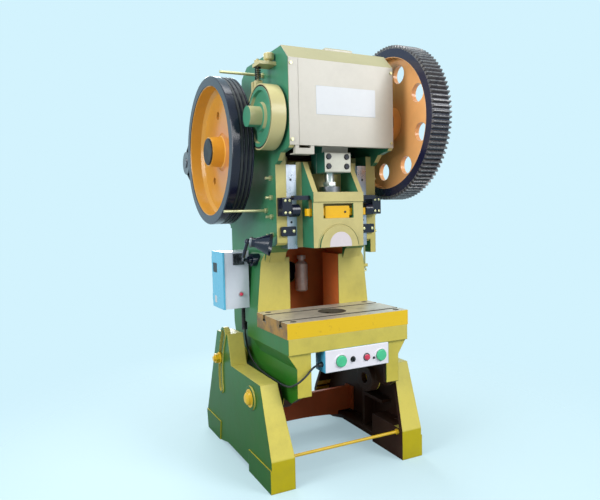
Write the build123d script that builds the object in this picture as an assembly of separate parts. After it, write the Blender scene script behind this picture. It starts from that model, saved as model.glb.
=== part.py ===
from build123d import *
import math
import os

# Inclinable C-frame punch press, in millimetres.
# While it is modelled, the ram axis is X = 0, Y = 0 and the floor is Z = 0.
# X points right, Y points to the back and Z points up.

# Legs
leg_outer_x = 442
leg_inner_foot_x = 318
leg_inner_top_x = 348
leg_wall = 25
foot_front_y = -176
foot_rear_y = 826
foot_height = 155
front_pad_rear_y = 112
rear_pad_front_y = 560
rear_pad_height = 115
arch_height = 28
shoulder_y = -58
shoulder_z = 495
upright_foot_y = 360
upright_front_y = 409
upright_rear_y = 588
upright_z = 662
pad_proud = 6
anchor_hole_r = 13

# Tilt pivot and clamp
pivot_y = 68
pivot_z = 399
pivot_r = 30
pivot_clear = 0.05
pivot_boss_r = 62
slot_radius = 471
slot_low_angle = -8.6
slot_high_angle = 33.5
slot_half_width = 22
slot_rim = 14
boss_proud = 8
clamp_angle = 13
clamp_bolt_r = 16
clamp_boss_r = 45
side_gap = 0.3

# Ties between the legs
tie_y = 500
tie_thick = 24
tie_low_z = 62
tie_foot_z = 38
tie_arch_z = 60
tie_high_z = 210
tie_rod_y = -135
tie_rod_z = 145
tie_rod_r = 8

# Frame casting
body_x = 296
web_thick = 26
frame_front_y = -176
frame_bottom_z = 395
plate_bottom_z = 440
plate_inner_x = 220
plate_thick = 26
frame_low_rear_y = 600
frame_rear_y = 689
frame_rear_low_z = 680
frame_rear_high_z = 1247
head_rear_y = 499
shell_end_z = 1606
head_back_y = 449
head_top_rear_y = 367
head_above_crank = 332
head_front_drop = 75
head_back_drop = 54
head_rear_drop = 266
head_front_y = -151
head_slope_y = -77
head_bottom_z = 1656
wall_thick = 24
back_wall_y = 520

# Table, throat columns and guide columns
table_x = 345
table_front_y = -190
table_rear_y = 340
table_low_z = 657
table_z = 735
table_rim = 26
haunch_z = 582
column_y = 185
column_rear_y = 370
column_inner_x = 153
column_top_x = 320
column_top_z = 1075
column_wide_z = 820
guide_y = 20
guide_low_z = 1170
guide_high_z = 1575
table_hole = 92
heel_x = (262, 296)
heel_y = (20, 75)
heel_low_z = 1108

# Bolster hole
scrap_hole_r = 75

# Bolster
bolster_x = 350
bolster_thick = 77
bolster_gap = 0.3
t_slot_y = (-110, 90)
t_slot_mouth = 22
t_slot_foot = 38
t_slot_depth = 34
bolster_bolt_x = 300
bolster_bolt_y = 152
bolster_bolt_r = 10

# Head cover and lid
sheet = 3
cover_x = 295
cover_lip = 30
cover_strip = 46
tray_x = (-266, -165)
tray_z = (1612, 1640)
lid_x = (-40, 120)
lid_y = (-50, 110)
lid_thick = 22

# Crank and brake
crank_z = 1800
throw = 40
journal_r = 55
bush_wall = 10
pin_r = 62
pin_half = 88
crank_cheek = 34
crank_boss_r = 95
crank_boss_x = 303
stub_r = 50
stub_end_x = 449
running_clear = 0.06
drum_x = (-386, -312)
drum_r = 144
lining_thick = 8
band_thick = 6
tension_x = -364
tension_y = 50
tension_r = 7
bracket_drop = (82, 66)
knob_x = -324
knob_y = 2
band_knob_r = 26

# Gear train
module = 8
gear_teeth = 100
pinion_teeth = 16
pressure_angle = 20
backlash = 1.2
gear_x = (352, 462)
gear_bore_r = 52
gear_hub_x = (345, 470)
gear_hub_r = 92
gear_rim_r = 345
gear_web_x = (394, 420)
gear_hole_r = 47
gear_hole_place = 262
gear_holes = 8
drive_angle = 15.5
crank_end_x = 515

# Drive shaft and flywheel
shaft_r = 38
bearing_r = 60
bearing_boss_r = 82
bearing_x = (250, 318)
flywheel_x = (-508, -392)
flywheel_r = 398
flywheel_rim_r = 345
flywheel_web_x = (-424, -400)
flywheel_hub_r = 78
flywheel_hole_r = 22
flywheel_hole_place = 215
flywheel_holes = 6
belt_count = 3
belt_pitch = 22
belt_first_x = -455
belt_width = 12
belt_thick = 11
groove_side = 1.5
groove_depth = 14

# Motor
motor_y = 1035
motor_z = 1665
motor_r = 112
motor_fin = 6
motor_x = (-250, 150)
motor_shaft_r = 19
pulley_r = 74
motor_plate_z = (1516, 1540)
motor_plate_rear_y = 1150

# Slide
slide_x = 146
slide_front_y = -90
slide_rear_y = 110
slide_low_z = 1155
band_low_z = 1384
band_proud = 6
slide_top_z = 1433
cheek_top_z = 1590
cheek_x = 118
cheek_back_y = 15
way_x = 178
way_front_y = 30
way_back_wall = 28
vee_y = 69
vee_depth = 25
gib_clear = 0.5
gib_x = 238
gib_rear_y = 120
shank_r = 25
shank_depth = 72
shank_clamp_r = 110
shank_clamp_y = (-98, -60)
screw_zs = (1510, 1412, 1315, 1222)
screw_r = 7

# Knock-out
window_x = 88
window_z = (1301, 1375)
window_wall = 12
bar_half = 70
bar_end = 172
bar_height = 62
bar_thick = 32
bar_travel = 22
bar_end_top = 50
adjust_up = 20
stop_x = (238, 290)
stop_z = (1317, 1409)
knob_r = 33

# Connecting rod and adjusting screw
rod_end_r = 100
rod_x = 75
clamp_z = (1531, 1631)
clamp_front_y = -90
clamp_rear_y = 55
adjust_r = 25
adjust_clear = 0.08
adjust_top_z = 1700
rod_bore_top_z = 1745
ball_r = 36
ball_z = 1422
ball_clear = 0.3
seat_cap_r = 54
seat_cap_top_z = 1462
hex_z = (1467, 1486)

# Electric box
box_x = (-482, -345)
box_y = (300, 482)
box_z = (822, 1128)
box_wall = 3
door_gap = 0.4
door_thick = 10
hinge_out = 5
duct_y = (420, 480)
isolator_at = (-403, 1090)
isolator_half = 30
isolator_plate = 7
box_button_at = (-393, 899)
gland_r = 11

# Work lamp
lamp_base_at = (250, 1085)
lamp_base_r = 34
lamp_base_x = -350
lamp_head = (-440, 60, 1195)
lamp_arm_r = 9
lamp_aim = (0.80, -0.52, -0.14)
shade_length = 104
shade_mouth_r = 58
shade_neck_r = 24
shade_wall = 2

# Two-hand control box
hand_x = (-150, 219)
hand_y = (-195, -95)
hand_z = (547, 657)
hand_button_z = 598
palm_xs = (-64, 172)
palm_r = 29
button_travel = 5
stop_button_x = 87
stop_button_r = 15
selector_x = 6
selector_r = 11

# Cable between the two boxes: route points chosen by hand
cable_r = 5
cable_gland_x = -176
cable_points = [
    (cable_gland_x, -165, 586),
    (-202, -174, 584),
    (-230, -193, 575),
    (-264, -209, 556),
    (-298, -209, 532),
    (-320, -182, 508),
    (-325, -135, 492),
    (-324, -60, 483),
    (-325, 30, 484),
    (-324, 125, 484),
    (-323, 225, 488),
    (-323, 325, 511),
    (-323, 403, 563),
    (-322, 443, 640),
    (-322, 449, 724),
    (-322, 450, 806),
]

# Clutch pull rod and guard rods
pull_x = 343
pull_y = 205
pull_z = (1000, 1640)
pull_r = 6
pull_guide_zs = (1010, 1400)
pull_guide_thick = 18
pull_guide_half = 14
guard_y = 140
guard_zs = (1347, 2035)
guard_end_x = 530
guard_r = 7

# Lubricator on the back wall
oil_x = 60
oil_r = 38
oil_z = (860, 1075)

# Places worked out from the sizes above
centre_distance = module * (gear_teeth + pinion_teeth) / 2
drive_y = centre_distance * math.cos(math.radians(drive_angle))
drive_z = crank_z - centre_distance * math.sin(math.radians(drive_angle))
bolster_low_z = table_z
bolster_top_z = table_z + bolster_thick
bolster_rear_y = column_y - bolster_gap
pin_z = crank_z + throw
head_top_z = crank_z + head_above_crank
head_front_z = head_top_z - head_front_drop
head_back_z = head_top_z - head_back_drop
head_rear_z = head_top_z - head_rear_drop
bracket_z = tuple(head_top_z - drop for drop in bracket_drop)
clamp_y = pivot_y + slot_radius * math.cos(math.radians(clamp_angle))
clamp_bolt_z = pivot_z + slot_radius * math.sin(math.radians(clamp_angle))
depth_centre = (motor_y + motor_r + motor_fin - module * (gear_teeth / 2 + 1)) / 2


def span_box(x, y, z):
    """A block between two values on each axis."""
    centre = Pos((x[0] + x[1]) / 2, (y[0] + y[1]) / 2, (z[0] + z[1]) / 2)
    return centre * Box(abs(x[1] - x[0]), abs(y[1] - y[0]), abs(z[1] - z[0]))


def rod_along_x(x, y, z, r):
    """A round bar along X between two X values."""
    return Pos((x[0] + x[1]) / 2, y, z) * Rot(0, 90, 0) * Cylinder(r, abs(x[1] - x[0]))


def rod_along_y(x, y, z, r):
    """A round bar along Y between two Y values."""
    return Pos(x, (y[0] + y[1]) / 2, z) * Rot(90, 0, 0) * Cylinder(r, abs(y[1] - y[0]))


def rod_along_z(x, y, z, r):
    """A round bar along Z between two Z values."""
    return Pos(x, y, (z[0] + z[1]) / 2) * Cylinder(r, abs(z[1] - z[0]))


def slab_yz(points, x):
    """A side-view outline in Y and Z, given thickness between two X values."""
    face = make_face(Polyline(*points, close=True))
    return extrude(Plane.YZ.offset(min(x)) * face, amount=abs(x[1] - x[0]))


def slab_xz(points, y):
    """A front-view outline in X and Z, given thickness between two Y values."""
    face = make_face(Polyline(*points, close=True))
    return extrude(Plane.XZ.offset(-max(y)) * face, amount=abs(y[1] - y[0]))


def slab_xy(points, z):
    """A top-view outline in X and Y, given thickness between two Z values."""
    face = make_face(Polyline(*points, close=True))
    return extrude(Plane.XY.offset(min(z)) * face, amount=abs(z[1] - z[0]))


def turned_x(points, y, z):
    """A turned part about an axis along X; points are X and radius."""
    return Pos(0, y, z) * revolve(make_face(Polyline(*points, close=True)), Axis.X)


def turned_y(points, x, z):
    """A turned part about an axis along Y; points are Y and radius."""
    face = make_face(Polyline(*[(r, y) for y, r in points], close=True))
    return Pos(x, 0, z) * revolve(face, Axis.Y)


def hex_along_x(x, y, z, r):
    """A hexagonal nut along X."""
    face = Plane.YZ.offset(min(x)) * Pos(y, z) * RegularPolygon(r, 6)
    return extrude(face, amount=abs(x[1] - x[0]))


def hex_along_y(x, y, z, r):
    """A hexagonal bolt head along Y."""
    face = Plane.XZ.offset(-max(y)) * Pos(x, z) * RegularPolygon(r, 6)
    return extrude(face, amount=abs(y[1] - y[0]))


def hex_along_z(x, y, z, r):
    """A hexagonal bolt head along Z."""
    face = Plane.XY.offset(min(z)) * Pos(x, y) * RegularPolygon(r, 6)
    return extrude(face, amount=abs(z[1] - z[0]))


def joined(pieces):
    """Several loose solids as one node."""
    return Part() + pieces


def mirrored(part):
    """The same piece on the other side of the press."""
    return mirror(part, about=Plane.YZ)


def both_sides(part):
    """A piece and its mirror image."""
    return part + mirrored(part)


def left_leg():
    """Left leg: a hollow casting, open towards the frame, with pads and an arc slot."""
    outline = [
        (foot_front_y, 0), (foot_front_y, foot_height), (shoulder_y, shoulder_z),
        (upright_foot_y, shoulder_z), (upright_front_y, upright_z), (upright_rear_y, upright_z - 8),
        (foot_rear_y, rear_pad_height), (foot_rear_y - 18, 0), (rear_pad_front_y + 20, 0),
        (rear_pad_front_y - 106, arch_height), (front_pad_rear_y, arch_height), (front_pad_rear_y, 0),
    ]
    face = make_face(Polyline(*outline, close=True))
    solid = extrude(Plane.YZ.offset(-leg_outer_x) * face, amount=leg_outer_x - leg_inner_foot_x)
    inside = offset(face, amount=-leg_wall)
    pocket_depth = leg_outer_x - leg_inner_foot_x - leg_wall
    pocket = extrude(Plane.YZ.offset(-leg_outer_x + leg_wall) * inside, amount=pocket_depth)
    across = (-leg_outer_x, -leg_inner_foot_x)
    pocket -= span_box(across, (foot_front_y, front_pad_rear_y), (0, foot_height + 10))
    pocket -= span_box(across, (rear_pad_front_y, foot_rear_y), (0, rear_pad_height))
    solid -= pocket
    ribs = span_box((-leg_outer_x + leg_wall, -leg_inner_top_x), (240, 258), (40, shoulder_z - 5))
    ribs += span_box((-leg_outer_x + leg_wall, -leg_inner_top_x), (60, 250), (235, 253))
    solid += ribs
    lean = [
        (-leg_inner_foot_x, foot_height), (-leg_inner_top_x, shoulder_z - 20),
        (-leg_inner_top_x, upright_z + 1), (-leg_inner_foot_x + 10, upright_z + 1),
        (-leg_inner_foot_x + 10, foot_height),
    ]
    solid -= slab_xz(lean, (foot_front_y - 1, foot_rear_y + 1))
    solid += rod_along_x((-leg_outer_x - boss_proud, -body_x - side_gap), pivot_y, pivot_z, pivot_boss_r)
    arc = CenterArc((pivot_y, pivot_z), slot_radius, slot_low_angle, slot_high_angle - slot_low_angle)
    rim = SlotArc(arc, 2 * (slot_half_width + slot_rim))
    slot = SlotArc(arc, 2 * slot_half_width)
    solid += extrude(Plane.YZ.offset(-leg_outer_x - boss_proud) * rim, amount=boss_proud + leg_wall)
    solid -= extrude(Plane.YZ.offset(-leg_outer_x - boss_proud) * slot, amount=boss_proud + leg_wall)
    front_pad = [
        (foot_front_y, 0), (foot_front_y, rear_pad_height), (front_pad_rear_y, rear_pad_height),
        (front_pad_rear_y, 0),
    ]
    rear_pad = [
        (foot_rear_y - 18, 0), (foot_rear_y, rear_pad_height), (rear_pad_front_y, rear_pad_height),
        (rear_pad_front_y + 20, 0),
    ]
    for pad in (front_pad, rear_pad):
        solid += slab_yz(pad, (-leg_outer_x - pad_proud, -leg_outer_x + 1))
    bore_x = (-leg_outer_x - boss_proud, -body_x)
    solid -= rod_along_x(bore_x, pivot_y, pivot_z, pivot_r + pivot_clear)
    solid -= rod_along_x((-leg_inner_foot_x - 40, -leg_inner_foot_x), tie_rod_y, tie_rod_z, tie_rod_r)
    hole_x = -(leg_outer_x + leg_inner_foot_x) / 2
    for hole_y in anchor_hole_ys():
        solid -= rod_along_z(hole_x, hole_y, (0, foot_height + 10), anchor_hole_r)
    return solid


def anchor_hole_ys():
    """Y places of the two floor-anchor holes in each leg."""
    front = (foot_front_y + front_pad_rear_y) / 2
    rear = (rear_pad_front_y + foot_rear_y) / 2
    return front, rear


def rear_tie():
    """Plate that ties the legs at the back, with an arched lower edge and end flanges."""
    end_x = leg_outer_x - leg_wall
    reach = leg_inner_foot_x - 2
    rise = tie_arch_z - tie_foot_z
    arch_r = (reach ** 2 + rise ** 2) / (2 * rise)
    across = (tie_y, tie_y + tie_thick)
    tie = span_box((-reach, reach), across, (tie_foot_z, tie_high_z))
    tie -= rod_along_y(0, (tie_y - 1, tie_y + tie_thick + 1), tie_arch_z - arch_r, arch_r)
    tie += span_box((-end_x, end_x), across, (tie_low_z, tie_high_z))
    flange = span_box((-end_x, -end_x + 14), (tie_y - 30, tie_y + tie_thick + 30), (tie_low_z, tie_high_z))
    return tie + both_sides(flange)


def front_tie_rod():
    """Round tie rod between the feet with a nut at each leg."""
    reach = leg_inner_foot_x + 38
    rod = rod_along_x((-reach, reach), tie_rod_y, tie_rod_z, tie_rod_r)
    nut = hex_along_x((-leg_inner_foot_x, -leg_inner_foot_x + 13), tie_rod_y, tie_rod_z, 15)
    return rod + both_sides(nut)


def side_web():
    """Left side web of the frame with the C-shaped throat and the pivot lug."""
    outline = [
        (frame_front_y, plate_bottom_z), (frame_front_y, table_low_z), (table_front_y, table_low_z),
        (table_front_y, table_z), (column_y, table_z), (column_y, column_top_z),
        (column_y - 30, column_top_z + 50), (column_y - 90, column_top_z + 82), (guide_y + 15, guide_low_z),
        (guide_y, guide_low_z + 12), (guide_y, guide_high_z), (guide_y - 34, guide_high_z + 16),
        (guide_y - 70, guide_high_z + 52), (head_front_y + 14, guide_high_z + 66),
        (head_front_y, head_bottom_z), (head_front_y, head_front_z), (head_slope_y, head_top_z - sheet),
        (head_top_rear_y, head_top_z - sheet), (head_back_y, head_back_z), (head_rear_y, head_rear_z),
        (frame_rear_y, frame_rear_high_z), (frame_rear_y, frame_rear_low_z),
        (frame_low_rear_y, frame_bottom_z), (-100, frame_bottom_z),
    ]
    web = slab_yz(outline, (-body_x, -body_x + web_thick))
    web += rod_along_x((-body_x, -body_x + web_thick + 30), pivot_y, pivot_z, pivot_boss_r + 14)
    clamp_boss = (-leg_outer_x + leg_wall + side_gap, -body_x + web_thick)
    web += rod_along_x(clamp_boss, clamp_y, clamp_bolt_z, clamp_boss_r)
    return web


def throat_column():
    """Left throat column and guide column, cored from behind."""
    inner = -body_x + web_thick
    low = span_box((inner, -column_inner_x), (column_y, column_rear_y), (table_z, column_top_z + 20))
    guide = [
        (column_y, column_top_z - 5), (column_y - 30, column_top_z + 50),
        (column_y - 90, column_top_z + 82), (guide_y + 15, guide_low_z), (guide_y, guide_low_z + 12),
        (guide_y, guide_high_z), (guide_y, head_bottom_z - 30), (column_rear_y, head_bottom_z - 30),
        (column_rear_y, column_top_z - 5),
    ]
    high = slab_yz(guide, (inner, -way_x - 4))
    column = low + high
    core = span_box((inner - 1, -way_x - 32), (column_y + 28, column_rear_y), (column_wide_z, guide_high_z - 40))
    return column - core


def outer_lip():
    """Flared outer lip of the left column, widening towards the table."""
    outline = [
        (-body_x, table_z), (-table_x, table_z), (-table_x, column_wide_z),
        (-column_top_x, column_top_z), (-body_x, column_top_z + 45),
    ]
    return slab_xz(outline, (column_y, column_rear_y))


def table():
    """Table casting: a deep rim, ribbed below, with the scrap hole."""
    block = span_box((-table_x, table_x), (table_front_y, table_rear_y), (table_low_z, table_z))
    hollow = table_x - table_rim
    pocket = span_box((-hollow, hollow), (table_front_y + table_rim, table_rear_y - table_rim),
                      (table_low_z, table_z - 40))
    for rib_x in (-110, 110):
        pocket -= span_box((rib_x - 9, rib_x + 9), (table_front_y, table_rear_y), (table_low_z, table_z))
    return block - pocket


def frame_casting():
    """Whole frame casting: webs, columns, table, front plates, back wall and head."""
    haunch = [(-body_x, haunch_z), (-table_x, table_low_z), (-body_x, table_low_z)]
    left = side_web() + throat_column() + outer_lip()
    left += slab_xz(haunch, (frame_front_y, table_rear_y - 60))
    left += span_box((-body_x, -plate_inner_x), (frame_front_y, frame_front_y + plate_thick),
                     (plate_bottom_z, table_low_z))
    left += rod_along_x((-crank_boss_x, -230), 0, crank_z, crank_boss_r)
    left += rod_along_x((-bearing_x[1], -bearing_x[0]), drive_y, drive_z, bearing_boss_r)
    frame = left + mirrored(left) + table()
    inner = body_x - web_thick
    across = (-inner, inner)
    frame += span_box(across, (back_wall_y, back_wall_y + wall_thick), (table_low_z, guide_high_z))
    frame += span_box(across, (head_slope_y, head_top_rear_y), (head_top_z - 30, head_top_z - sheet))
    rear_shell = [
        (head_top_rear_y, head_top_z - sheet), (head_back_y, head_back_z), (head_rear_y, head_rear_z),
        (slope_y(shell_end_z), shell_end_z), (slope_y(shell_end_z) - 23, shell_end_z - 7),
        (head_rear_y - 24, head_rear_z - 4), (head_back_y - 22, head_back_z - 14),
        (head_top_rear_y - 6, head_top_z - 30),
    ]
    frame += slab_yz(rear_shell, across)
    frame += span_box((column_inner_x - 1, inner), (column_rear_y - 4, back_wall_y + 4),
                      (table_low_z + 20, table_z))
    frame += span_box((-inner, -column_inner_x + 1), (column_rear_y - 4, back_wall_y + 4),
                      (table_low_z + 20, table_z))
    guide_y_span = (pull_y - pull_guide_half, pull_y + pull_guide_half)
    for guide_z in pull_guide_zs:
        frame += span_box((body_x - 2, pull_x + 12), guide_y_span, (guide_z, guide_z + pull_guide_thick))
    frame += span_box(heel_x, heel_y, (heel_low_z, guide_low_z + 12))
    return frame_cuts(frame)


def slope_y(z):
    """Y of the frame's sloped back at a height."""
    lean = (frame_rear_y - head_rear_y) / (head_rear_z - frame_rear_high_z)
    return head_rear_y + (head_rear_z - z) * lean


def frame_cuts(frame):
    """Bores and openings cut in the frame casting."""
    frame -= span_box((-table_hole, table_hole), (-table_hole, table_hole), (table_low_z - 1, table_z + 1))
    frame -= rod_along_x((-crank_boss_x - 1, crank_boss_x + 1), 0, crank_z, journal_r + bush_wall)
    frame -= rod_along_x((-bearing_x[1] - 1, bearing_x[1] + 1), drive_y, drive_z, bearing_r)
    frame -= rod_along_y(0, (back_wall_y - 1, back_wall_y + wall_thick + 1), 973, 65)
    guide_zs = (pull_guide_zs[0] - 1, pull_guide_zs[1] + pull_guide_thick + 1)
    frame -= rod_along_z(pull_x, pull_y, guide_zs, pull_r + 0.5)
    for side in (-1, 1):
        seat = span_box((side * (way_x + 3), side * gib_x), (guide_y - 1, gib_rear_y),
                        (guide_low_z - 20, head_bottom_z))
        frame -= seat
        frame -= rod_along_x((side * 200, side * (body_x + 1)), pivot_y, pivot_z, pivot_r)
        frame -= rod_along_x((side * 350, side * leg_outer_x), clamp_y, clamp_bolt_z, clamp_bolt_r)
        for z in screw_zs:
            frame -= rod_along_x((side * (gib_x - 2), side * (body_x + 1)), vee_y, z, screw_r)
        for y in (-bolster_bolt_y, bolster_bolt_y):
            frame -= rod_along_z(side * bolster_bolt_x, y, (table_z - 30, table_z + 1), bolster_bolt_r)
    return frame


def pivot_bolts():
    """Pivot bolts that carry the frame in the legs."""
    x = -leg_outer_x - boss_proud
    bolt = rod_along_x((x - 1, -body_x + web_thick), pivot_y, pivot_z, pivot_r)
    head = turned_x([(x - 26, 0), (x - 24, 20), (x - 16, 31), (x - 0.5, 36), (x - 0.5, 0)], pivot_y, pivot_z)
    return both_sides(bolt + head)


def tilt_clamp_bolts():
    """Clamp bolts that ride in the arc slots, with washer and nut."""
    x = -leg_outer_x - boss_proud
    bolt = rod_along_x((x - 40, -350), clamp_y, clamp_bolt_z, clamp_bolt_r)
    washer = rod_along_x((x - 6.3, x - 0.3), clamp_y, clamp_bolt_z, 34)
    nut = hex_along_x((x - 30, x - 6.3), clamp_y, clamp_bolt_z, 29)
    return both_sides(bolt + washer + nut)


def bolster_plate():
    """Bolster plate with two T-slots from side to side and the scrap hole."""
    plate = span_box((-bolster_x, bolster_x), (table_front_y, bolster_rear_y), (bolster_low_z, bolster_top_z))
    for y in t_slot_y:
        mouth = (y - t_slot_mouth / 2, y + t_slot_mouth / 2)
        foot = (y - t_slot_foot / 2, y + t_slot_foot / 2)
        across = (-bolster_x - 1, bolster_x + 1)
        plate -= span_box(across, mouth, (bolster_top_z - t_slot_depth, bolster_top_z + 1))
        plate -= span_box(across, foot, (bolster_top_z - t_slot_depth, bolster_top_z - t_slot_depth + 14))
    plate -= rod_along_z(0, 0, (bolster_low_z - 1, bolster_top_z + 1), scrap_hole_r)
    for x in (-bolster_bolt_x, bolster_bolt_x):
        for y in (-bolster_bolt_y, bolster_bolt_y):
            plate -= rod_along_z(x, y, (bolster_low_z - 1, bolster_top_z + 1), bolster_bolt_r)
            plate -= rod_along_z(x, y, (bolster_top_z - 20, bolster_top_z + 1), bolster_bolt_r + 7)
    return plate


def bolster_bolts():
    """Four cap screws that hold the bolster to the table."""
    bolts = []
    for x in (-bolster_bolt_x, bolster_bolt_x):
        for y in (-bolster_bolt_y, bolster_bolt_y):
            shank = rod_along_z(x, y, (table_z - 28, bolster_top_z - 20), bolster_bolt_r)
            head = rod_along_z(x, y, (bolster_top_z - 20, bolster_top_z - 4), bolster_bolt_r + 5)
            socket = hex_along_z(x, y, (bolster_top_z - 12, bolster_top_z), 7)
            bolts.append(shank + head - socket)
    return joined(bolts)


def head_cover():
    """Folded sheet cover over the front and the sloped top of the head."""
    run = head_slope_y - head_front_y
    rise = head_top_z - sheet - head_front_z
    length = math.hypot(run, rise)
    corner = sheet * (length - run) / rise
    bend = sheet * (length - rise) / run
    outline = [
        (head_front_y - sheet, head_bottom_z - sheet),
        (head_front_y - sheet, head_front_z + bend), (head_slope_y - corner, head_top_z),
        (head_slope_y + cover_lip, head_top_z), (head_slope_y + cover_lip, head_top_z - sheet),
        (head_slope_y, head_top_z - sheet), (head_front_y, head_front_z), (head_front_y, head_bottom_z - sheet),
    ]
    cover = slab_yz(outline, (-cover_x, cover_x))
    lip_x = body_x - web_thick - 2
    cover += span_box((-lip_x, lip_x), (head_front_y - 1, head_front_y + cover_lip),
                      (head_bottom_z - sheet, head_bottom_z))
    strip = -cover_x + cover_strip
    cover -= span_box((strip, strip + 5), (head_front_y - sheet - 1, head_front_y - 1.5),
                      (head_bottom_z - sheet - 1, head_front_z - 8))
    for x in (-cover_x + 12, cover_x - 12):
        for z in cover_bolt_zs():
            cover -= rod_along_y(x, (head_front_y - sheet - 1, head_front_y + 1), z, 4)
    low, high = tray_z
    tray = span_box(tray_x, (head_front_y, head_front_y + 60), (low, low + 6))
    tray += span_box(tray_x, (head_front_y, head_front_y + sheet), (low, high))
    for x in (tray_x[0], tray_x[1] - 20):
        tray += span_box((x, x + 20), (head_front_y, head_front_y + 25), (low, head_bottom_z - sheet))
    return cover + tray


def cover_bolt_zs():
    """Heights of the cover bolts."""
    return head_bottom_z + 22, head_front_z - 26


def cover_bolts():
    """Four small screws through the cover corners."""
    bolts = []
    for x in (-cover_x + 12, cover_x - 12):
        for z in cover_bolt_zs():
            shank = rod_along_y(x, (head_front_y - sheet, head_front_y - 0.1), z, 4)
            head = hex_along_y(x, (head_front_y - sheet - 5, head_front_y - sheet), z, 8)
            bolts.append(shank + head)
    return joined(bolts)


def top_lid():
    """Small lid over the oil filling opening on the head."""
    lid = span_box(lid_x, lid_y, (head_top_z, head_top_z + lid_thick))
    return chamfer(lid.faces().sort_by(Axis.Z)[-1].edges(), 5)


def crankshaft():
    """Crankshaft with its eccentric pin, brake stub and gear seat."""
    shaft = rod_along_x((-stub_end_x, -crank_boss_x), 0, crank_z, stub_r)
    outer = pin_half + crank_cheek
    for side in (-1, 1):
        shaft += rod_along_x((side * crank_boss_x, side * outer), 0, crank_z, journal_r)
        cheek = span_box((side * outer, side * pin_half), (-72, 72), (crank_z - 68, pin_z + 76))
        shaft += fillet(cheek.edges().filter_by(Axis.X), 40)
    shaft += rod_along_x((-pin_half, pin_half), 0, pin_z, pin_r)
    shaft += rod_along_x((crank_boss_x, gear_hub_x[0] - side_gap), 0, crank_z, journal_r + 22)
    shaft += rod_along_x((gear_hub_x[0] - side_gap, gear_hub_x[1] + side_gap), 0, crank_z, gear_bore_r)
    cap = [
        (gear_hub_x[1] + side_gap, 0), (gear_hub_x[1] + side_gap, 84), (crank_end_x - 8, 84),
        (crank_end_x, 70), (crank_end_x, 0),
    ]
    return shaft + turned_x(cap, 0, crank_z)


def crank_bushes():
    """Bronze bushes of the two crank bearings."""
    ring = rod_along_x((-crank_boss_x, -230), 0, crank_z, journal_r + bush_wall)
    ring -= rod_along_x((-crank_boss_x - 1, -229), 0, crank_z, journal_r)
    return both_sides(ring)


def rod_cap():
    """Upper half of the connecting rod's big end, with its bolt ears."""
    cap = rod_along_x((-pin_half + 0.5, pin_half - 0.5), 0, pin_z, rod_end_r)
    cap += span_box((-pin_half + 0.5, pin_half - 0.5), (-rod_end_r - 28, rod_end_r + 28), (pin_z, pin_z + 30))
    cap &= span_box((-rod_end_r, rod_end_r), (-rod_end_r * 2, rod_end_r * 2),
                    (pin_z + side_gap, pin_z + rod_end_r + 1))
    cap -= rod_along_x((-pin_half, pin_half), 0, pin_z, pin_r)
    for x in (-52, 52):
        for y in (-rod_end_r - 12, rod_end_r + 12):
            cap -= rod_along_z(x, y, (pin_z - 1, pin_z + 40), 10)
    return cap


def cap_bolts():
    """Four bolts of the big-end cap."""
    bolts = []
    for x in (-52, 52):
        for y in (-rod_end_r - 12, rod_end_r + 12):
            shank = rod_along_z(x, y, (pin_z + side_gap, pin_z + 30), 10)
            bolts.append(shank + hex_along_z(x, y, (pin_z + 30, pin_z + 44), 17))
    return joined(bolts)


def brake_drum():
    """Brake drum on the crank stub."""
    low, high = drum_x
    outline = [
        (low, stub_r), (low, stub_r + 18), (low + 14, stub_r + 22), (low + 14, drum_r - 22),
        (low, drum_r - 18), (low, drum_r), (high, drum_r), (high, drum_r - 24), (high - 12, drum_r - 30),
        (high - 12, stub_r + 26), (high, stub_r + 22), (high, stub_r),
    ]
    return turned_x(outline, 0, crank_z)


def split_ring(inner_r, outer_r, x):
    """A ring about the crank axis, open at the top behind the tension bolt."""
    ring = rod_along_x(x, 0, crank_z, outer_r) - rod_along_x((x[0] - 1, x[1] + 1), 0, crank_z, inner_r)
    return ring - span_box((x[0] - 1, x[1] + 1), (tension_y + 14, tension_y + 26), (crank_z, crank_z + 200))


def brake_lining():
    """Friction lining inside the band."""
    inner_r = drum_r + 0.2
    return split_ring(inner_r, drum_r + lining_thick, (drum_x[0] + 2, drum_x[1] - 2))


def brake_band():
    """Steel brake band with its two end lugs."""
    inner_r = drum_r + lining_thick
    outer_r = inner_r + band_thick
    band = split_ring(inner_r, outer_r, drum_x)
    top = crank_z + outer_r
    lug_x = (tension_x - 18, tension_x + 18)
    lugs = span_box(lug_x, (tension_y - 14, tension_y + 14), (top - 40, top + 26))
    lugs += span_box(lug_x, (tension_y + 26, tension_y + 46), (top - 60, top + 26))
    lugs -= rod_along_x((drum_x[0] - 1, drum_x[1] + 1), 0, crank_z, inner_r)
    return band + lugs - rod_along_z(tension_x, tension_y, (crank_z, top + 40), tension_r)


def brake_tension_bolt():
    """Tension bolt with its nut, the bracket arm on the frame and the arm's knob."""
    top = crank_z + drum_r + lining_thick + band_thick
    high = bracket_z[1]
    bolt = rod_along_z(tension_x, tension_y, (top - 4, high + 24), tension_r)
    bolt += hex_along_z(tension_x, tension_y, (high, high + 16), 17)
    bolt += span_box((tension_x - 20, -body_x), (knob_y - 24, tension_y + 20), bracket_z)
    bolt += rod_along_z(knob_x, knob_y, (high, high + 12), 12)
    knob = rod_along_z(knob_x, knob_y, (high + 10, high + 44), band_knob_r)
    return bolt + fillet(knob.edges().filter_by(GeomType.CIRCLE), 7)


def brake_spring():
    """Spring sleeve that loads the band end."""
    top = crank_z + drum_r + lining_thick + band_thick + 26
    coils = []
    pitch = (bracket_z[0] - top) / 6
    tube = rod_along_z(tension_x, tension_y, (top, bracket_z[0]), 13)
    for index in range(6):
        low = top + index * pitch
        coils.append(rod_along_z(tension_x, tension_y, (low + 0.1 * pitch, low + 0.75 * pitch), 17))
    for coil in coils:
        tube += coil
    return tube - rod_along_z(tension_x, tension_y, (top - 1, bracket_z[0] + 1), tension_r)


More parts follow.
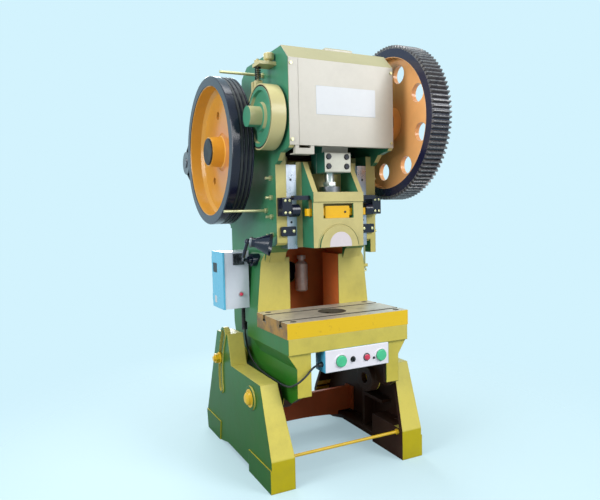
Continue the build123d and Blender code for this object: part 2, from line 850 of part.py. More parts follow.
def guard_rods():
    """Two round rods beside the flywheel, screwed into the left web."""
    rods = []
    for z in guard_zs:
        rod = rod_along_x((-guard_end_x, -body_x), guard_y, z, guard_r)
        rods.append(rod + hex_along_x((-body_x - 12, -body_x), guard_y, z, 14))
    return joined(rods)


def tooth_outline(teeth, phase):
    """Outline of a spur gear with involute flanks, in Y and Z."""
    pitch_r = module * teeth / 2
    base_r = pitch_r * math.cos(math.radians(pressure_angle))
    tip_r = pitch_r + module
    root_r = pitch_r - 1.25 * module
    pitch_half = math.pi / (2 * teeth) - backlash / (4 * pitch_r)
    pressure = math.radians(pressure_angle)

    def half_angle(radius):
        """Half the angle of a tooth at a radius on its flank."""
        turn = math.acos(min(1, base_r / radius))
        return pitch_half + (math.tan(pressure) - pressure) - (math.tan(turn) - turn)

    flank_low = max(root_r, base_r)
    steps = 3
    radii = [flank_low + (tip_r - flank_low) * step / steps for step in range(steps + 1)]
    points = []
    for tooth in range(teeth):
        middle = phase + tooth * 2 * math.pi / teeth
        left = [(r, middle - half_angle(r)) for r in radii]
        right = [(r, middle + half_angle(r)) for r in reversed(radii)]
        flank = left + right
        if root_r < flank_low:
            flank = [(root_r, left[0][1])] + flank + [(root_r, right[-1][1])]
        points += [(r * math.cos(a), r * math.sin(a)) for r, a in flank]
    return points


def spur_blank(teeth, phase, x, y, z):
    """Toothed blank of a spur gear between two X values."""
    face = make_face(Polyline(*tooth_outline(teeth, phase), close=True))
    return Pos(0, y, z) * extrude(Plane.YZ.offset(x[0]) * face, amount=x[1] - x[0])


def big_gear():
    """Crank gear: toothed rim, thin web with round holes, long hub."""
    gear = spur_blank(gear_teeth, -math.radians(drive_angle), gear_x, 0, crank_z)
    for side in ((gear_x[0] - 1, gear_web_x[0]), (gear_web_x[1], gear_x[1] + 1)):
        recess = rod_along_x(side, 0, crank_z, gear_rim_r) - rod_along_x(side, 0, crank_z, gear_hub_r)
        gear -= recess
    gear += rod_along_x(gear_hub_x, 0, crank_z, gear_hub_r)
    gear -= rod_along_x((gear_hub_x[0] - 1, gear_hub_x[1] + 1), 0, crank_z, gear_bore_r + running_clear)
    for index in range(gear_holes):
        angle = 2 * math.pi * (index + 0.35) / gear_holes
        y = gear_hole_place * math.cos(angle)
        z = crank_z + gear_hole_place * math.sin(angle)
        gear -= rod_along_x(gear_x, y, z, gear_hole_r)
    return gear


def pinion():
    """Pinion on the drive shaft, phased to mesh with the crank gear."""
    phase = math.pi - math.radians(drive_angle) + math.pi / pinion_teeth
    blank = spur_blank(pinion_teeth, phase, gear_x, drive_y, drive_z)
    return blank - rod_along_x((gear_x[0] - 1, gear_x[1] + 1), drive_y, drive_z, shaft_r)


def drive_shaft():
    """Drive shaft with its end cap at the flywheel."""
    shaft = rod_along_x((flywheel_x[0] + 6, gear_x[1] + 8), drive_y, drive_z, shaft_r)
    cap = [
        (flywheel_x[0] + 6, 0), (flywheel_x[0] + 6, flywheel_hub_r - 5), (flywheel_x[0] + 1, flywheel_hub_r - 5),
        (flywheel_x[0] - 2, flywheel_hub_r - 9), (flywheel_x[0] - 2, 0),
    ]
    return shaft + turned_x(cap, drive_y, drive_z)


def shaft_bearings():
    """Bearing rings of the drive shaft with their outer flanges."""
    inner_r = shaft_r + running_clear
    low, high = bearing_x
    outline = [
        (-low, inner_r), (-low, bearing_r), (-high, bearing_r), (-high, bearing_boss_r),
        (-high - 12, bearing_boss_r), (-high - 16, bearing_boss_r - 4), (-high - 16, inner_r),
    ]
    return both_sides(turned_x(outline, drive_y, drive_z))


def belt_xs():
    """X centres of the belts and their grooves."""
    return [belt_first_x + index * belt_pitch for index in range(belt_count)]


def grooved(wheel, radius, y, z):
    """A wheel with the belt grooves cut in its rim."""
    half = belt_width / 2 + groove_side
    for x in belt_xs():
        cut = [(x - half - 2, radius + 1), (x - half, radius - groove_depth), (x + half, radius - groove_depth),
               (x + half + 2, radius + 1)]
        wheel -= turned_x(cut, y, z)
    return wheel


def flywheel():
    """Flywheel: heavy rim with belt grooves, recessed web with holes, hub."""
    low, high = flywheel_x
    web_low, web_high = flywheel_web_x
    hub_low = low + 6
    outline = [
        (hub_low, shaft_r), (hub_low, flywheel_hub_r), (web_low - 14, flywheel_hub_r + 6),
        (web_low, flywheel_hub_r + 26), (web_low, flywheel_rim_r - 14), (web_low - 18, flywheel_rim_r),
        (low + 6, flywheel_rim_r), (low, flywheel_rim_r + 6), (low, flywheel_r - 4), (low + 4, flywheel_r),
        (high - 3, flywheel_r), (high, flywheel_r - 3), (high, flywheel_rim_r),
        (web_high, flywheel_rim_r - 10), (web_high, flywheel_hub_r + 4), (high, flywheel_hub_r),
        (high, shaft_r),
    ]
    wheel = grooved(turned_x(outline, drive_y, drive_z), flywheel_r, drive_y, drive_z)
    for index in range(flywheel_holes):
        angle = 2 * math.pi * (index + 0.25) / flywheel_holes
        y = drive_y + flywheel_hole_place * math.cos(angle)
        z = drive_z + flywheel_hole_place * math.sin(angle)
        wheel -= rod_along_x((web_low - 1, web_high + 1), y, z, flywheel_hole_r)
    return wheel


def motor_pulley():
    """Grooved pulley on the motor shaft."""
    low = belt_first_x - 16
    high = belt_xs()[-1] + 16
    outline = [
        (low, motor_shaft_r), (low, pulley_r - 3), (low + 3, pulley_r), (high - 3, pulley_r),
        (high, pulley_r - 3), (high, motor_shaft_r),
    ]
    pulley = grooved(turned_x(outline, motor_y, motor_z), pulley_r, motor_y, motor_z)
    cap = rod_along_x((low - 6, low), motor_y, motor_z, motor_shaft_r + 12)
    return pulley + cap + rod_along_x((low, motor_x[0] + 20), motor_y, motor_z, motor_shaft_r)


def belt_loop(offset_r, x):
    """Closed belt outline round both wheels, at a distance from the groove bottoms."""
    wheel = Pos(drive_y, drive_z) * Circle(flywheel_r - groove_depth + offset_r)
    small = Pos(motor_y, motor_z) * Circle(pulley_r - groove_depth + offset_r)
    hull = make_hull(wheel.edges() + small.edges())
    return extrude(Plane.YZ.offset(x - belt_width / 2) * hull, amount=belt_width)


def v_belts():
    """V-belts from the motor pulley to the flywheel."""
    belts = []
    for x in belt_xs():
        belts.append(belt_loop(0.4 + belt_thick, x) - belt_loop(0.4, x))
    return joined(belts)


def motor():
    """Foot-mounted motor: finned body, end bells, fan cover and terminal box."""
    low, high = motor_x
    outline = [
        (low, motor_shaft_r + 1), (low, 60), (low + 22, 70), (low + 30, motor_r - 12),
        (low + 44, motor_r - motor_fin),
    ]
    fins = 12
    fin_pitch = (high - 70 - low - 50) / fins
    for index in range(fins):
        start = low + 50 + index * fin_pitch
        outline += [(start, motor_r - motor_fin), (start, motor_r + motor_fin),
                    (start + fin_pitch / 2, motor_r + motor_fin), (start + fin_pitch / 2, motor_r - motor_fin)]
    outline += [(high - 66, motor_r - 4), (high - 62, motor_r + 4), (high - 12, motor_r + 4), (high, motor_r - 8),
                (high, 0), (low + 22, 0), (low + 22, motor_shaft_r + 1)]
    body = turned_x(outline, motor_y, motor_z)
    foot_z = motor_plate_z[1]
    feet = span_box((low + 70, high - 90), (motor_y - 110, motor_y + 110), (foot_z, foot_z + 16))
    feet += span_box((low + 80, high - 100), (motor_y - 70, motor_y + 70), (foot_z + 10, motor_z - 60))
    terminals = span_box((-120, 0), (motor_y - 55, motor_y + 55), (motor_z + motor_r - 20, motor_z + motor_r + 48))
    return body + feet + fillet(terminals.edges().filter_by(Axis.Z), 10)


def motor_bracket():
    """Bracket on the sloped back of the frame that carries the motor."""
    low_z, plate_z = motor_plate_z
    top_z = plate_z + 70
    seat = [
        (slope_y(top_z), top_z), (slope_y(frame_rear_high_z), frame_rear_high_z),
        (slope_y(frame_rear_high_z) + 20, frame_rear_high_z), (slope_y(top_z) + 20, top_z),
    ]
    bracket = slab_yz(seat, (-body_x, body_x))
    bracket += span_box((-body_x, body_x), (slope_y(plate_z) + 12, motor_plate_rear_y), motor_plate_z)
    gusset = [
        (slope_y(low_z) + 10, low_z + 1), (motor_plate_rear_y - 30, low_z + 1),
        (motor_plate_rear_y - 30, low_z - 30), (slope_y(frame_rear_high_z) + 10, frame_rear_high_z + 10),
    ]
    return bracket + both_sides(slab_yz(gusset, (-body_x, -body_x + 18)))


def way_outline(clear, side):
    """Top-view outline of a slide way with its V ridge, or of the gap for it."""
    face_x = side * (way_x + clear)
    tip_x = side * (way_x + clear + vee_depth)
    return [(face_x, vee_y - vee_depth), (tip_x, vee_y), (face_x, vee_y + vee_depth)]


def slide():
    """Slide: body, back plate with V ways, sloping cheeks, knock-out window and ball seat."""
    body = span_box((-slide_x, slide_x), (slide_front_y, slide_rear_y), (slide_low_z, slide_top_z))
    band = span_box((-slide_x, slide_x), (slide_front_y - band_proud, slide_front_y + 30), (band_low_z, slide_top_z))
    cheek = [
        (slide_front_y, slide_top_z - 1), (cheek_back_y, cheek_top_z), (slide_rear_y, cheek_top_z),
        (slide_rear_y, slide_top_z - 1),
    ]
    body += band + both_sides(slab_yz(cheek, (-slide_x, -cheek_x)))
    plate_y = (way_front_y, slide_rear_y)
    body += both_sides(span_box((-way_x, -cheek_x), plate_y, (slide_low_z, cheek_top_z)))
    body += span_box((-way_x, way_x), (slide_rear_y - way_back_wall, slide_rear_y), (slide_low_z, cheek_top_z))
    for side in (-1, 1):
        body += slab_xy(way_outline(0, side), (slide_low_z, cheek_top_z))
    window_low, window_high = window_z
    slot_y = (slide_front_y + window_wall, slide_front_y + window_wall + bar_thick + 2)
    body -= span_box((-window_x, window_x), (slide_front_y - 20, slot_y[1]), window_z)
    body -= span_box((-window_x, window_x), slot_y, (window_low, window_high + bar_travel))
    body -= span_box((-slide_x - 1, slide_x + 1), slot_y, (window_low + 8, window_high + bar_travel))
    body -= rod_along_z(0, 0, (slide_low_z - 1, slide_low_z + shank_depth), shank_r)
    cup = Pos(0, 0, ball_z) * Sphere(ball_r + ball_clear)
    body -= cup + rod_along_z(0, 0, (ball_z, slide_top_z + 1), ball_r + ball_clear)
    clamp = rod_along_y(0, (shank_clamp_y[0], shank_clamp_y[1]), slide_low_z, shank_clamp_r)
    return body - clamp


def shank_clamp():
    """Half-round clamp block at the front of the tool-shank hole."""
    block = rod_along_y(0, shank_clamp_y, slide_low_z, shank_clamp_r)
    return block & span_box((-shank_clamp_r, shank_clamp_r), shank_clamp_y, (slide_low_z, slide_low_z + shank_clamp_r))


def ball_seat_cap():
    """Ring that holds the screw's ball down in the slide."""
    ring = rod_along_z(0, 0, (slide_top_z, seat_cap_top_z), seat_cap_r)
    ring -= Pos(0, 0, ball_z) * Sphere(ball_r + ball_clear)
    return ring - rod_along_z(0, 0, (ball_z, seat_cap_top_z + 1), adjust_r + 1)


def adjusting_screw():
    """Adjusting screw with its ball and hexagon."""
    screw = rod_along_z(0, 0, (ball_z, adjust_top_z), adjust_r)
    screw += Pos(0, 0, ball_z) * Sphere(ball_r)
    return screw + hex_along_z(0, 0, hex_z, 36)


def connecting_rod():
    """Connecting rod: lower half of the big end, tapered shank, rear half of the screw clamp."""
    big_end = rod_along_x((-pin_half + 0.5, pin_half - 0.5), 0, pin_z, rod_end_r)
    big_end += span_box((-pin_half + 0.5, pin_half - 0.5), (-rod_end_r - 28, rod_end_r + 28), (pin_z - 34, pin_z))
    big_end &= span_box((-rod_end_r, rod_end_r), (-rod_end_r * 2, rod_end_r * 2), (pin_z - rod_end_r, pin_z))
    low, high = clamp_z
    shank = [(-62, high), (-84, pin_z - 40), (84, pin_z - 40), (clamp_rear_y, high)]
    rod = big_end + slab_yz(shank, (-rod_x, rod_x))
    rod += span_box((-rod_x, rod_x), (1, clamp_rear_y), (low, high))
    rod -= rod_along_x((-pin_half, pin_half), 0, pin_z, pin_r + side_gap)
    rod -= rod_along_z(0, 0, (low - 1, rod_bore_top_z), adjust_r + adjust_clear)
    for x, z in clamp_bolt_places():
        rod -= rod_along_y(x, (0, 30), z, 8)
    return rod


def clamp_bolt_places():
    """X and Z of the clamp bolts."""
    low, high = clamp_z
    return [(x, z) for x in (-52, 52) for z in (low + 30, high - 22)]


def rod_clamp():
    """Front half of the screw clamp."""
    block = span_box((-rod_x, rod_x), (clamp_front_y, -1), clamp_z)
    block = chamfer(block.edges().filter_by(Axis.X), 5)
    block -= rod_along_z(0, 0, (clamp_z[0] - 1, clamp_z[1] + 1), adjust_r + adjust_clear)
    for x, z in clamp_bolt_places():
        block -= rod_along_y(x, (clamp_front_y - 1, 0), z, 8)
        block -= rod_along_y(x, (clamp_front_y - 1, clamp_front_y + 8), z, 15)
    return block


def rod_clamp_bolts():
    """Bolts that close the screw clamp."""
    bolts = []
    for x, z in clamp_bolt_places():
        shank = rod_along_y(x, (clamp_front_y + 8, 28), z, 8)
        bolts.append(shank + hex_along_y(x, (clamp_front_y - 6, clamp_front_y + 8), z, 14))
    return joined(bolts)


def knockout_bar():
    """Knock-out bar: thick middle in the window, thinner ends through the slide's sides."""
    low = window_z[0] + 0.3
    front = slide_front_y + window_wall + 0.5
    bar = span_box((-bar_half, bar_half), (front, front + bar_thick), (low, low + bar_height))
    ends = span_box((-bar_end, bar_end), (front + 6, front + bar_thick - 4), (low + 14, low + bar_end_top))
    return bar + ends


def right_gib():
    """Right gib strip with its V groove."""
    low_x = way_x + gib_clear
    outline = [(low_x + 4, guide_y), (low_x + 4, way_front_y - 2), (low_x, way_front_y - 2)]
    outline += way_outline(gib_clear, 1)
    outline += [(low_x, gib_rear_y), (gib_x, gib_rear_y), (gib_x, guide_y)]
    return slab_xy(outline, (guide_low_z - 20, guide_high_z))


def gib_screws():
    """Set screws with lock nuts that press the gibs."""
    screws = []
    for side in (-1, 1):
        for z in screw_zs:
            screw = rod_along_x((side * gib_x, side * (body_x + 36)), vee_y, z, screw_r)
            screws.append(screw + hex_along_x((side * body_x, side * (body_x + 12)), vee_y, z, 14))
    return joined(screws)


def knockout_stops():
    """Stop blocks on the guide columns, with fingers over the bar and round knobs."""
    block = span_box((-stop_x[1], -stop_x[0]), (guide_y - 62, guide_y), stop_z)
    block = fillet(block.edges().filter_by(Axis.X), 5)
    finger_low = window_z[0] + bar_end_top + bar_travel + adjust_up + 2
    block += span_box((-stop_x[0] - 2, -slide_x - 6), (guide_y - 88, guide_y - 54), (finger_low, finger_low + 22))
    knob_y = guide_y - knob_r - 3
    block += rod_along_x((-stop_x[0], -stop_x[0] + 44), knob_y, stop_z[0] + 28, knob_r)
    return both_sides(block)


def gib_keepers():
    """Keeper straps across the lower ends of the gibs."""
    strap = span_box((-277, -195), (guide_y - 16, guide_y), (1216, 1264))
    return both_sides(fillet(strap.edges().filter_by(Axis.Y), 6))


def oil_reservoir():
    """Oil bottle of the lubricator on the back wall, with neck, cap and holder."""
    low, high = oil_z
    y = back_wall_y - oil_r - 14
    outline = [
        (0, low), (oil_r - 8, low), (oil_r, low + 8), (oil_r, high - 50), (18, high - 30), (18, high - 22),
        (26, high - 22), (26, high), (0, high),
    ]
    bottle = Pos(oil_x, y, 0) * revolve(Plane.XZ * make_face(Polyline(*outline, close=True)), Axis.Z)
    holder = span_box((oil_x - 20, oil_x + 20), (y + oil_r - 6, back_wall_y), (low + 60, low + 110))
    return bottle + holder


def electric_box():
    """Sheet electric box, open on its door side, with the wiring duct to the frame."""
    shell = span_box(box_x, box_y, box_z)
    inside_x = (box_x[0] - 1, box_x[1] - box_wall)
    inside_y = (box_y[0] + box_wall, box_y[1] - box_wall)
    inside_z = (box_z[0] + box_wall, box_z[1] - box_wall)
    shell -= span_box(inside_x, inside_y, inside_z)
    x, z = isolator_at
    plate = span_box((x - isolator_half, x + isolator_half), (box_y[0] - isolator_plate, box_y[0]),
                     (z - isolator_half, z + isolator_half))
    shell += fillet(plate.edges().filter_by(Axis.Y), 8)
    shell -= rod_along_y(x, (box_y[0] - 10, box_y[0] + 5), z, 6 + running_clear)
    x, z = box_button_at
    shell -= rod_along_y(x, (box_y[0] - 1, box_y[0] + 5), z, 7.5)
    duct = span_box((box_x[1], -body_x), duct_y, box_z)
    duct_in = (duct_y[0] + box_wall, duct_y[1] - box_wall)
    duct -= span_box((box_x[1] - 1, -body_x - box_wall), duct_in, (box_z[0] + 20, box_z[1] - 20))
    return shell + duct


def box_door():
    """Door of the electric box with its folded edge."""
    x = (box_x[0] - door_gap - door_thick, box_x[0] - door_gap)
    door = span_box(x, (box_y[0] - 2, box_y[1] + 2), (box_z[0] - 2, box_z[1] + 2))
    door = fillet(door.edges().filter_by(Axis.X), 3)
    hollow = span_box((x[0] + 2, x[1] + 1), (box_y[0] + 4, box_y[1] - 4), (box_z[0] + 4, box_z[1] - 4))
    door -= hollow
    for z in (box_z[0] + 30, box_z[1] - 70):
        door += span_box(x, (box_y[1] - 1, box_y[1] + hinge_out + 2), (z, z + 40))
    window = span_box((x[0] - 1, x[0] + 0.8), (box_y[0] + 96, box_y[1] - 12), (box_z[1] - 118, box_z[1] - 58))
    return door - window


def isolator():
    """Rotary isolator switch on the box front."""
    x, z = isolator_at
    y = box_y[0]
    grip = span_box((x - 9, x + 9), (y - 34, y - isolator_plate - 2), (z - 22, z + 22))
    grip = fillet(grip.edges().filter_by(Axis.Y), 7)
    knob = rod_along_y(x, (y - 22, y - isolator_plate - side_gap), z, 24)
    return knob + grip + rod_along_y(x, (y - 10, y + 8), z, 6)


def push_button(x, y, z, cap_r, stem_r, height):
    """Push button with a domed cap and a stem through the panel at Y."""
    outline = [
        (y - 3 - height, 0), (y - 3 - height, cap_r - 5), (y - height, cap_r - 1),
        (y - button_travel - 1, cap_r), (y - button_travel - 1, stem_r), (y + 4, stem_r), (y + 4, 0),
    ]
    return turned_y(outline, x, z)


def box_button():
    """Red button on the electric box."""
    x, z = box_button_at
    return push_button(x, box_y[0], z, 10, 7, 12)


def two_hand_box():
    """Two-hand control box with an end plate, hung under the table."""
    box = span_box(hand_x, hand_y, hand_z)
    box = chamfer(box.edges().filter_by(Axis.X), 3)
    box -= span_box((hand_x[0] + 8, hand_x[1] - 8), (hand_y[0] + 6, hand_y[1] - 3), (hand_z[0] + 3, hand_z[1] - 3))
    holes = [(x, 21) for x in palm_xs] + [(stop_button_x, 10.5), (selector_x, 6 + running_clear)]
    for x, r in holes:
        box -= rod_along_y(x, (hand_y[0] - 1, hand_y[0] + 7), hand_button_z, r)
    return box


def palm_button(x):
    """Mushroom palm button of the two-hand control."""
    return push_button(x, hand_y[0], hand_button_z, palm_r, 20.5, 12)


def stop_button():
    """Red stop button of the two-hand control."""
    return push_button(stop_button_x, hand_y[0], hand_button_z, stop_button_r, 10, 12)


def selector():
    """Selector switch with a finger bar."""
    y = hand_y[0]
    knob = rod_along_y(selector_x, (y - 8, y - 0.3), hand_button_z, selector_r)
    bar = span_box((selector_x - 3, selector_x + 3), (y - 15, y - 8), (hand_button_z - 10, hand_button_z + 10))
    return knob + bar + rod_along_y(selector_x, (y - 1, y + 8), hand_button_z, 6)


def cable_glands():
    """Glands where the cable leaves the control box and enters the duct."""
    y, z = cable_points[0][1:]
    first = hex_along_x((hand_x[0] - 8, hand_x[0]), y, z, gland_r + 3)
    first += turned_x([(cable_gland_x, cable_r), (cable_gland_x, cable_r + 3), (hand_x[0] - 8, gland_r),
                       (hand_x[0], gland_r), (hand_x[0], cable_r)], y, z)
    first -= rod_along_x((cable_gland_x - 1, hand_x[0] + 1), y, z, cable_r)
    x, y, z = cable_points[-1]
    second = hex_along_z(x, y, (box_z[0] - 8, box_z[0]), gland_r + 3)
    second += rod_along_z(x, y, (z, box_z[0]), cable_r + 4)
    second -= rod_along_z(x, y, (z - 1, box_z[0] + 1), cable_r)
    return joined([first, second])


def corner_radii(points):
    """Arc radius at each inner point of a cord's route."""
    radii = []
    for before, here, after in zip(points, points[1:], points[2:]):
        run_in = Vector(*here) - Vector(*before)
        run_out = Vector(*after) - Vector(*here)
        turn = math.radians(run_in.get_angle(run_out))
        radii.append(0.45 * min(run_in.length, run_out.length) / math.tan(turn / 2))
    return radii


def cable():
    """Cable from the two-hand box round the frame to the duct under the electric box."""
    radii = corner_radii(cable_points)
    print("cable radii", [round(radius) for radius in radii])
    path = FilletPolyline(*cable_points, radius=radii)
    start = Plane(origin=path @ 0, z_dir=path % 0)
    tube = sweep(start * Circle(cable_r), path=path)
    expected = math.pi * cable_r ** 2 * path.length
    print("cable length", round(path.length), "volume ratio", round(tube.volume / expected, 4))
    return tube


def lamp_base():
    """Round lamp base on the outer face of the left column."""
    y, z = lamp_base_at
    base = rod_along_x((lamp_base_x, -body_x - 10), y, z, lamp_base_r)
    return base - outer_lip()


def lamp_arm():
    """Bent lamp arm with a swivel foot and a ball at the head."""
    y, z = lamp_base_at
    foot_x = lamp_base_x - 0.3
    points = [(foot_x - 8, y, z), (foot_x - 52, y - 6, z + 4), (lamp_head[0] - 4, 110, 1120), lamp_head]
    path = FilletPolyline(*points, radius=[24, 34])
    arm = sweep(Plane(origin=path @ 0, z_dir=path % 0) * Circle(lamp_arm_r), path=path)
    arm += rod_along_x((foot_x - 16, foot_x), y, z, 20)
    return arm + Pos(*lamp_head) * Sphere(lamp_arm_r + 6)


def lamp_shade():
    """Conical lamp shade, turned towards the tool space."""
    neck_r = lamp_arm_r + 6 + 0.3
    start = neck_r - 2
    outer = [
        (0, start), (shade_neck_r, start), (shade_neck_r, start + 30), (shade_mouth_r, start + shade_length),
        (shade_mouth_r - shade_wall, start + shade_length), (shade_neck_r - shade_wall, start + 31),
        (0, start + 31),
    ]
    shade = revolve(Plane.XZ * make_face(Polyline(*outer, close=True)), Axis.Z)
    shade -= Sphere(neck_r)
    place = Plane(origin=lamp_head, z_dir=lamp_aim)
    return place.location * shade


def clutch_pull_rod():
    """Pull rod of the clutch on the right side, with an eye at its foot."""
    rod = rod_along_z(pull_x, pull_y, pull_z, pull_r)
    eye = rod_along_y(pull_x, (pull_y - 5, pull_y + 5), pull_z[0] - 8, 11)
    return rod + eye - rod_along_y(pull_x, (pull_y - 6, pull_y + 6), pull_z[0] - 8, 5)


def build_pieces():
    """Every piece of the press by its node name."""
    left = left_leg()
    gib = right_gib()
    return {
        "left_leg": left,
        "right_leg": mirrored(left),
        "rear_tie": rear_tie(),
        "front_tie_rod": front_tie_rod(),
        "frame_casting": frame_casting(),
        "pivot_bolts": pivot_bolts(),
        "tilt_clamp_bolts": tilt_clamp_bolts(),
        "bolster_plate": bolster_plate(),
        "bolster_bolts": bolster_bolts(),
        "head_cover": head_cover(),
        "cover_bolts": cover_bolts(),
        "top_lid": top_lid(),
        "crankshaft": crankshaft(),
        "crank_bushes": crank_bushes(),
        "rod_cap": rod_cap(),
        "cap_bolts": cap_bolts(),
        "brake_drum": brake_drum(),
        "brake_band": brake_band(),
        "brake_lining": brake_lining(),
        "brake_tension_bolt": brake_tension_bolt(),
        "brake_spring": brake_spring(),
        "guard_rods": guard_rods(),
        "big_gear": big_gear(),
        "pinion": pinion(),
        "drive_shaft": drive_shaft(),
        "shaft_bearings": shaft_bearings(),
        "flywheel": flywheel(),
        "motor": motor(),
        "motor_pulley": motor_pulley(),
        "motor_bracket": motor_bracket(),
        "v_belts": v_belts(),
        "slide": slide(),
        "shank_clamp": shank_clamp(),
        "ball_seat_cap": ball_seat_cap(),
        "adjusting_screw": adjusting_screw(),
        "connecting_rod": connecting_rod(),
        "rod_clamp": rod_clamp(),
        "rod_clamp_bolts": rod_clamp_bolts(),
        "knockout_bar": knockout_bar(),
        "gib_right": gib,
        "gib_left": mirrored(gib),
        "gib_screws": gib_screws(),
        "knockout_stops": knockout_stops(),
        "gib_keepers": gib_keepers(),
        "oil_reservoir": oil_reservoir(),
        "electric_box": electric_box(),
        "box_door": box_door(),
        "isolator": isolator(),
        "box_button": box_button(),
        "two_hand_box": two_hand_box(),
        "palm_button_left": palm_button(palm_xs[0]),
        "palm_button_right": palm_button(palm_xs[1]),
        "stop_button": stop_button(),
        "selector": selector(),
        "cable": cable(),
        "cable_glands": cable_glands(),
        "lamp_base": lamp_base(),
        "lamp_arm": lamp_arm(),
        "lamp_shade": lamp_shade(),
        "clutch_pull_rod": clutch_pull_rod(),
    }


os.makedirs("parts", exist_ok=True)
to_row = Pos(0, -depth_centre, 0)
for name, piece in build_pieces().items():
    export_step(to_row * piece, f"parts/{name}.step")
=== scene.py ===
"""Finishes, fittings and setting of an inclinable C-frame punch press."""

from __future__ import annotations

import logging
import math
from dataclasses import dataclass
from enum import Enum

import bmesh
import bpy
from mathutils import Matrix, Vector

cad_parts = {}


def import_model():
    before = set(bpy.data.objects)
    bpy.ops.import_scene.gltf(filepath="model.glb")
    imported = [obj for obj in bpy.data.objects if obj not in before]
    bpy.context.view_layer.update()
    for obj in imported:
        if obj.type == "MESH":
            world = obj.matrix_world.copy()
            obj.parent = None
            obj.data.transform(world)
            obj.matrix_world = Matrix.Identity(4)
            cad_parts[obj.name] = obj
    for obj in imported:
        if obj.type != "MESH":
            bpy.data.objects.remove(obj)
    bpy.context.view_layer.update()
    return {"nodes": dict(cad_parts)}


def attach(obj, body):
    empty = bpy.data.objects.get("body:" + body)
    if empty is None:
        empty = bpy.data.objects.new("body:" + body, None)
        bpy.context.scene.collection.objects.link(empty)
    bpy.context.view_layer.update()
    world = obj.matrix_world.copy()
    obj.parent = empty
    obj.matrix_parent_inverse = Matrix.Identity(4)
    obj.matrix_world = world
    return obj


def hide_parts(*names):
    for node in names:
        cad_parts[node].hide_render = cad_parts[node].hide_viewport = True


log = logging.getLogger("punch_press")
DEPTH_SHIFT = 372.5
PER_METRE = 1000
SHARP_ANGLE = math.radians(38)
SIDES = (-1, 1)

Socket = bpy.types.NodeSocket
Node = bpy.types.Node
Rgb = tuple[int, int, int]
Pair = tuple[float, float]
Place = tuple[float, float, float]
Profile = tuple[Pair, ...]
Box = tuple[Place, Place]
Verts = list[bmesh.types.BMVert]


def at(x: float, y: float, z: float) -> Vector:
    """Turns millimetres right of and behind the ram's axis and above the floor into a place in metres."""
    return Vector((x, y - DEPTH_SHIFT, z)) / PER_METRE


def linear(colour: Rgb) -> tuple[float, float, float, float]:
    """A display colour as the linear colour that a shader takes.

    Args:
        colour: Red, green and blue from 0 to 255.

    Returns:
        Linear red, green, blue and an alpha of 1.
    """
    shares = [value / 255 for value in colour]
    red, green, blue = [share / 12.92 if share <= 0.04045 else ((share + 0.055) / 1.055) ** 2.4
                        for share in shares]
    return (red, green, blue, 1.0)


def spaced(count: int, radius: float, first: float = 0.0) -> list[Pair]:
    """Points evenly spaced round a circle about 0, the first one at an angle in degrees."""
    angles = [math.radians(360 / count * index + first) for index in range(count)]
    return [(radius * math.cos(angle), radius * math.sin(angle)) for angle in angles]


def link(name: str, data: bpy.types.ID) -> bpy.types.Object:
    """Adds an object to the scene.

    Args:
        name: The object's name.
        data: Its mesh, curve, light or camera.

    Returns:
        The object.
    """
    made = bpy.data.objects.new(name, data)
    bpy.context.scene.collection.objects.link(made)
    return made


class Way(Enum):
    """Directions that a fitting can point in."""

    LEFT = (-1.0, 0.0, 0.0)
    RIGHT = (1.0, 0.0, 0.0)
    FRONT = (0.0, -1.0, 0.0)
    BACK = (0.0, 1.0, 0.0)
    UP = (0.0, 0.0, 1.0)


class Grain(Enum):
    """Directions in which a surface was machined, as the stretch of its marks."""

    ACROSS = (6.0, 260.0, 260.0)
    UPRIGHT = (260.0, 260.0, 6.0)
    DEEP = (260.0, 6.0, 260.0)
    TURNED = (30.0, 240.0, 240.0)


